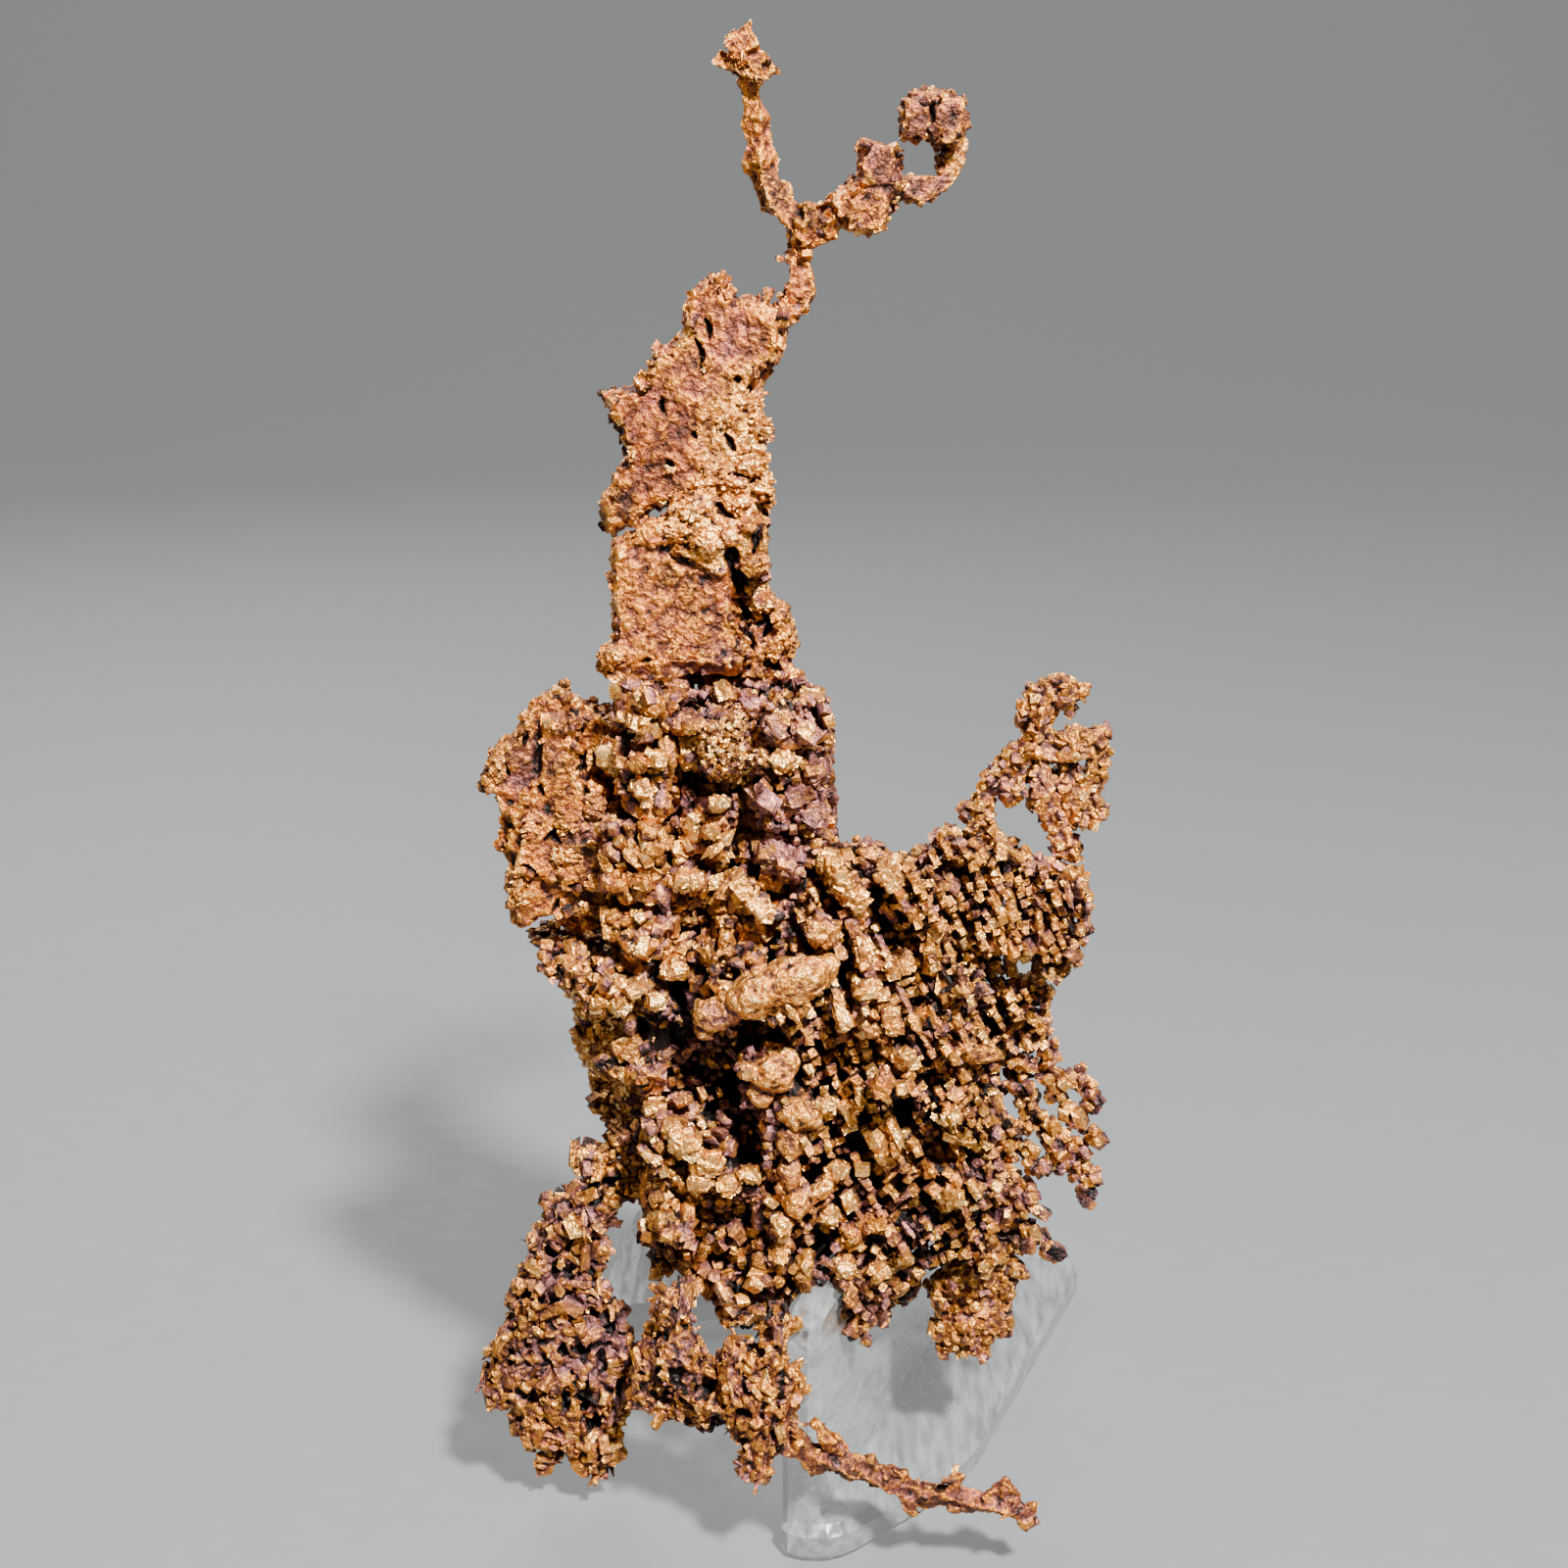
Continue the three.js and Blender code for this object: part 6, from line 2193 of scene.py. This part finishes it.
HORN_FEATURES = features_of(
    (SHARD, 742, 46, 7, 12, -70, RUST, 0.1, 2.2), (SHARD, 756, 60, 12, 9, 40, RUST, 0.1, 2.2),
    (SHARD, 772, 78, 13, 9, 45, HONEY, 0.1, 2.2), (SHARD, 790, 98, 13, 9, 50, RUST, 0.1, 2.2),
    (ROD, 806, 122, 12, 8, 60, HONEY, 0.1, 2.0), (ROD, 824, 152, 14, 7, 62, RUST, 0.1, 2.0),
)
PLATE_CREASES = tuple(Crease(*row) for row in (
    (586, 706, 590, 760, 6, 0.7), (590, 760, 600, 812, 6, 0.7), (598, 806, 599, 830, 4),
    (614, 812, 612, 842, 4, 0.4), (564, 852, 572, 862, 5), (582, 904, 592, 906, 5),
    (568, 920, 566, 934, 5), (556, 858, 566, 848, 4), (628, 842, 634, 880, 5, 0.5),
    (512, 776, 518, 792, 4), (540, 748, 533, 762, 3), (552, 800, 556, 812, 3),
    (534, 884, 546, 892, 4),
))
PLATE_FEATURES = features_of(
    (ROD, 575, 874, 18, 9, 0, HONEY, 0.1, 2.8), (ROD, 543, 842, 8, 20, 10, RUST, 0.1, 2.6),
    (ROD, 530, 905, 8, 22, -12, HONEY, 0.1, 2.6), (BLOCK, 610, 900, 14, 10, 0, HONEY, 0.3, 3.4),
    (BLOCK, 640, 862, 9, 18, 0, Tone(0.1, 0.6, 0.9), 0.3, 3.2),
    (BLOCK, 607, 822, 12, 17, 0, Tone(0.2, 0.3, 0.7), 0.2, 3.0),
    (BLOCK, 600, 930, 18, 10, 0, OLIVE, 0.2, 3.4), (ROD, 578, 838, 12, 16, 20, BROWN, 0.2, 2.8),
    (BLOCK, 508, 782, 9, 22, 0, Tone(0.2, 0.2, 0.5), 0.05, 2.4),
    (ROD, 577, 738, 6, 28, 80, Tone(0.2, 0.1, 0.8), 0.1, 2.2),
)
BRANCHES = (
    Branch(
        "spire", "spire_blade", "copper_spire", voxel=0.14, budget=76000, fringe=0.62,
        half=0.26, inset=0.5, relief_rounds=24, relief_height=0.22, creases=SPIRE_CREASES,
        features=SPIRE_FEATURES, joints=((806, 317, -0.4), (813, 306, -0.4)),
        coats=((Coat.CLOUDS, 2.4, 0.6), (Coat.CLOUDS, 0.8, 0.28),
               (Coat.VORONOI, 0.7, -0.14), FAINT),
    ),
    Branch(
        "horn", "horn_twig", "copper_spire", voxel=0.12, fringe=0.7, half=0.14, inset=0.5,
        budget=24000, features=HORN_FEATURES, habits=(Habit.SHARD, Habit.BLOCK),
        joints=((852, 212, -0.7), (846, 221, -0.7), (836, 231, -0.6), (822, 240, -0.5),
                (812, 258, -0.4)),
        coats=((Coat.CLOUDS, 1.0, 0.4), (Coat.VORONOI, 0.7, -0.12), FAINT),
    ),
    Branch(
        "hook", "hook_twig", "copper_spire", voxel=0.12, fringe=0.62, half=0.24, inset=0.4,
        budget=30000,
        coats=((Coat.CLOUDS, 1.0, 0.35), (Coat.VORONOI, 0.7, -0.14), FAINT),
        creases=(Crease(957, 100, 950, 124, 5), Crease(950, 124, 962, 140, 4)),
    ),
    Branch(
        "ragged_plates", "left_plates", "copper_plate", voxel=0.14, budget=60000, fringe=0.7,
        half=0.3, inset=0.4, relief_rounds=24, relief_height=0.22, creases=PLATE_CREASES,
        features=PLATE_FEATURES,
        joints=((603, 932, -2.2), (590, 936, -1.2), (612, 925, -2.8), (579, 938, -0.4),
                (627, 784, 0.8), (627, 797, 0.8), (628, 810, 0.8), (620, 800, 1.0)),
        coats=((Coat.CLOUDS, 2.2, 0.45), (Coat.CLOUDS, 0.8, 0.22),
               (Coat.VORONOI, 0.7, -0.1), FAINT),
    ),
    Branch(
        "loop", "loop_arm", "copper_crystal", voxel=0.13, spread=0.62, half=0.3, budget=30000,
        habits=(Habit.BLOCK, Habit.BLOCK, Habit.KNOB, Habit.SLAB),
        coats=((Coat.VORONOI, 0.5, -0.3), FINE),
    ),
    Branch(
        "cluster", "corner_cluster", "copper_crystal", voxel=0.14, spread=0.68, half=0.34,
        budget=20000, coats=((Coat.VORONOI, 0.5, -0.3), FINE),
    ),
    Branch(
        "branch", "lower_branch", "copper_hackly", voxel=0.16, spread=0.66, half=0.31,
        stretch=2.8, budget=56000, inset=0.1, lay=76.0, pocket=0.9,
        habits=(Habit.SHARD, Habit.SLAB, Habit.BLOCK),
        coats=((Coat.CLOUDS, 1.6, -1.3), (Coat.VORONOI, 0.7, -0.5), FINE),
    ),
    Branch(
        "bridge", "lower_bridge", "copper_hackly", voxel=0.15, spread=0.66, half=0.26,
        stretch=3.4, budget=50000, inset=0.1, lay=80.0, pocket=0.6,
        habits=(Habit.SHARD, Habit.SHARD, Habit.BLOCK),
        coats=((Coat.CLOUDS, 1.6, -0.8), (Coat.VORONOI, 0.7, -0.4), FINE),
    ),
    Branch(
        "tail", "tail_twig", "copper_hackly", voxel=0.12, fringe=0.75, half=0.2,
        stretch=2.6, budget=26000, habits=(Habit.SHARD, Habit.BLOCK), inset=0.6, lay=100.0,
        coats=((Coat.CLOUDS, 0.8, 0.5), (Coat.VORONOI, 0.6, -0.16), FAINT),
    ),
)


def main() -> None:
    """Builds every piece and reports it."""
    logging.basicConfig(level=logging.INFO, format="%(message)s")
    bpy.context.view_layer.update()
    copper = TarnishedCopper().material()
    bench = SeedBench()
    AcrylicStand().dress(ClearAcrylic().material())
    sheet = TarnishedCopper(
        name="Tarnished sheet of native copper", tan="#a05a18", orange="#b8520a", plum="#86504c",
        speck=0.7, mottle=0.9, patch=3.0, pit=0.36, bump=0.8, gloss=0.28,
    ).material()
    for branch in BRANCHES:
        branch.build(bench, sheet if branch.slot in SHEET_SLOTS else copper)
    CrystalFan(bench).build(copper, sheet)
    Studio().build()


if __name__ == "__main__":
    main()
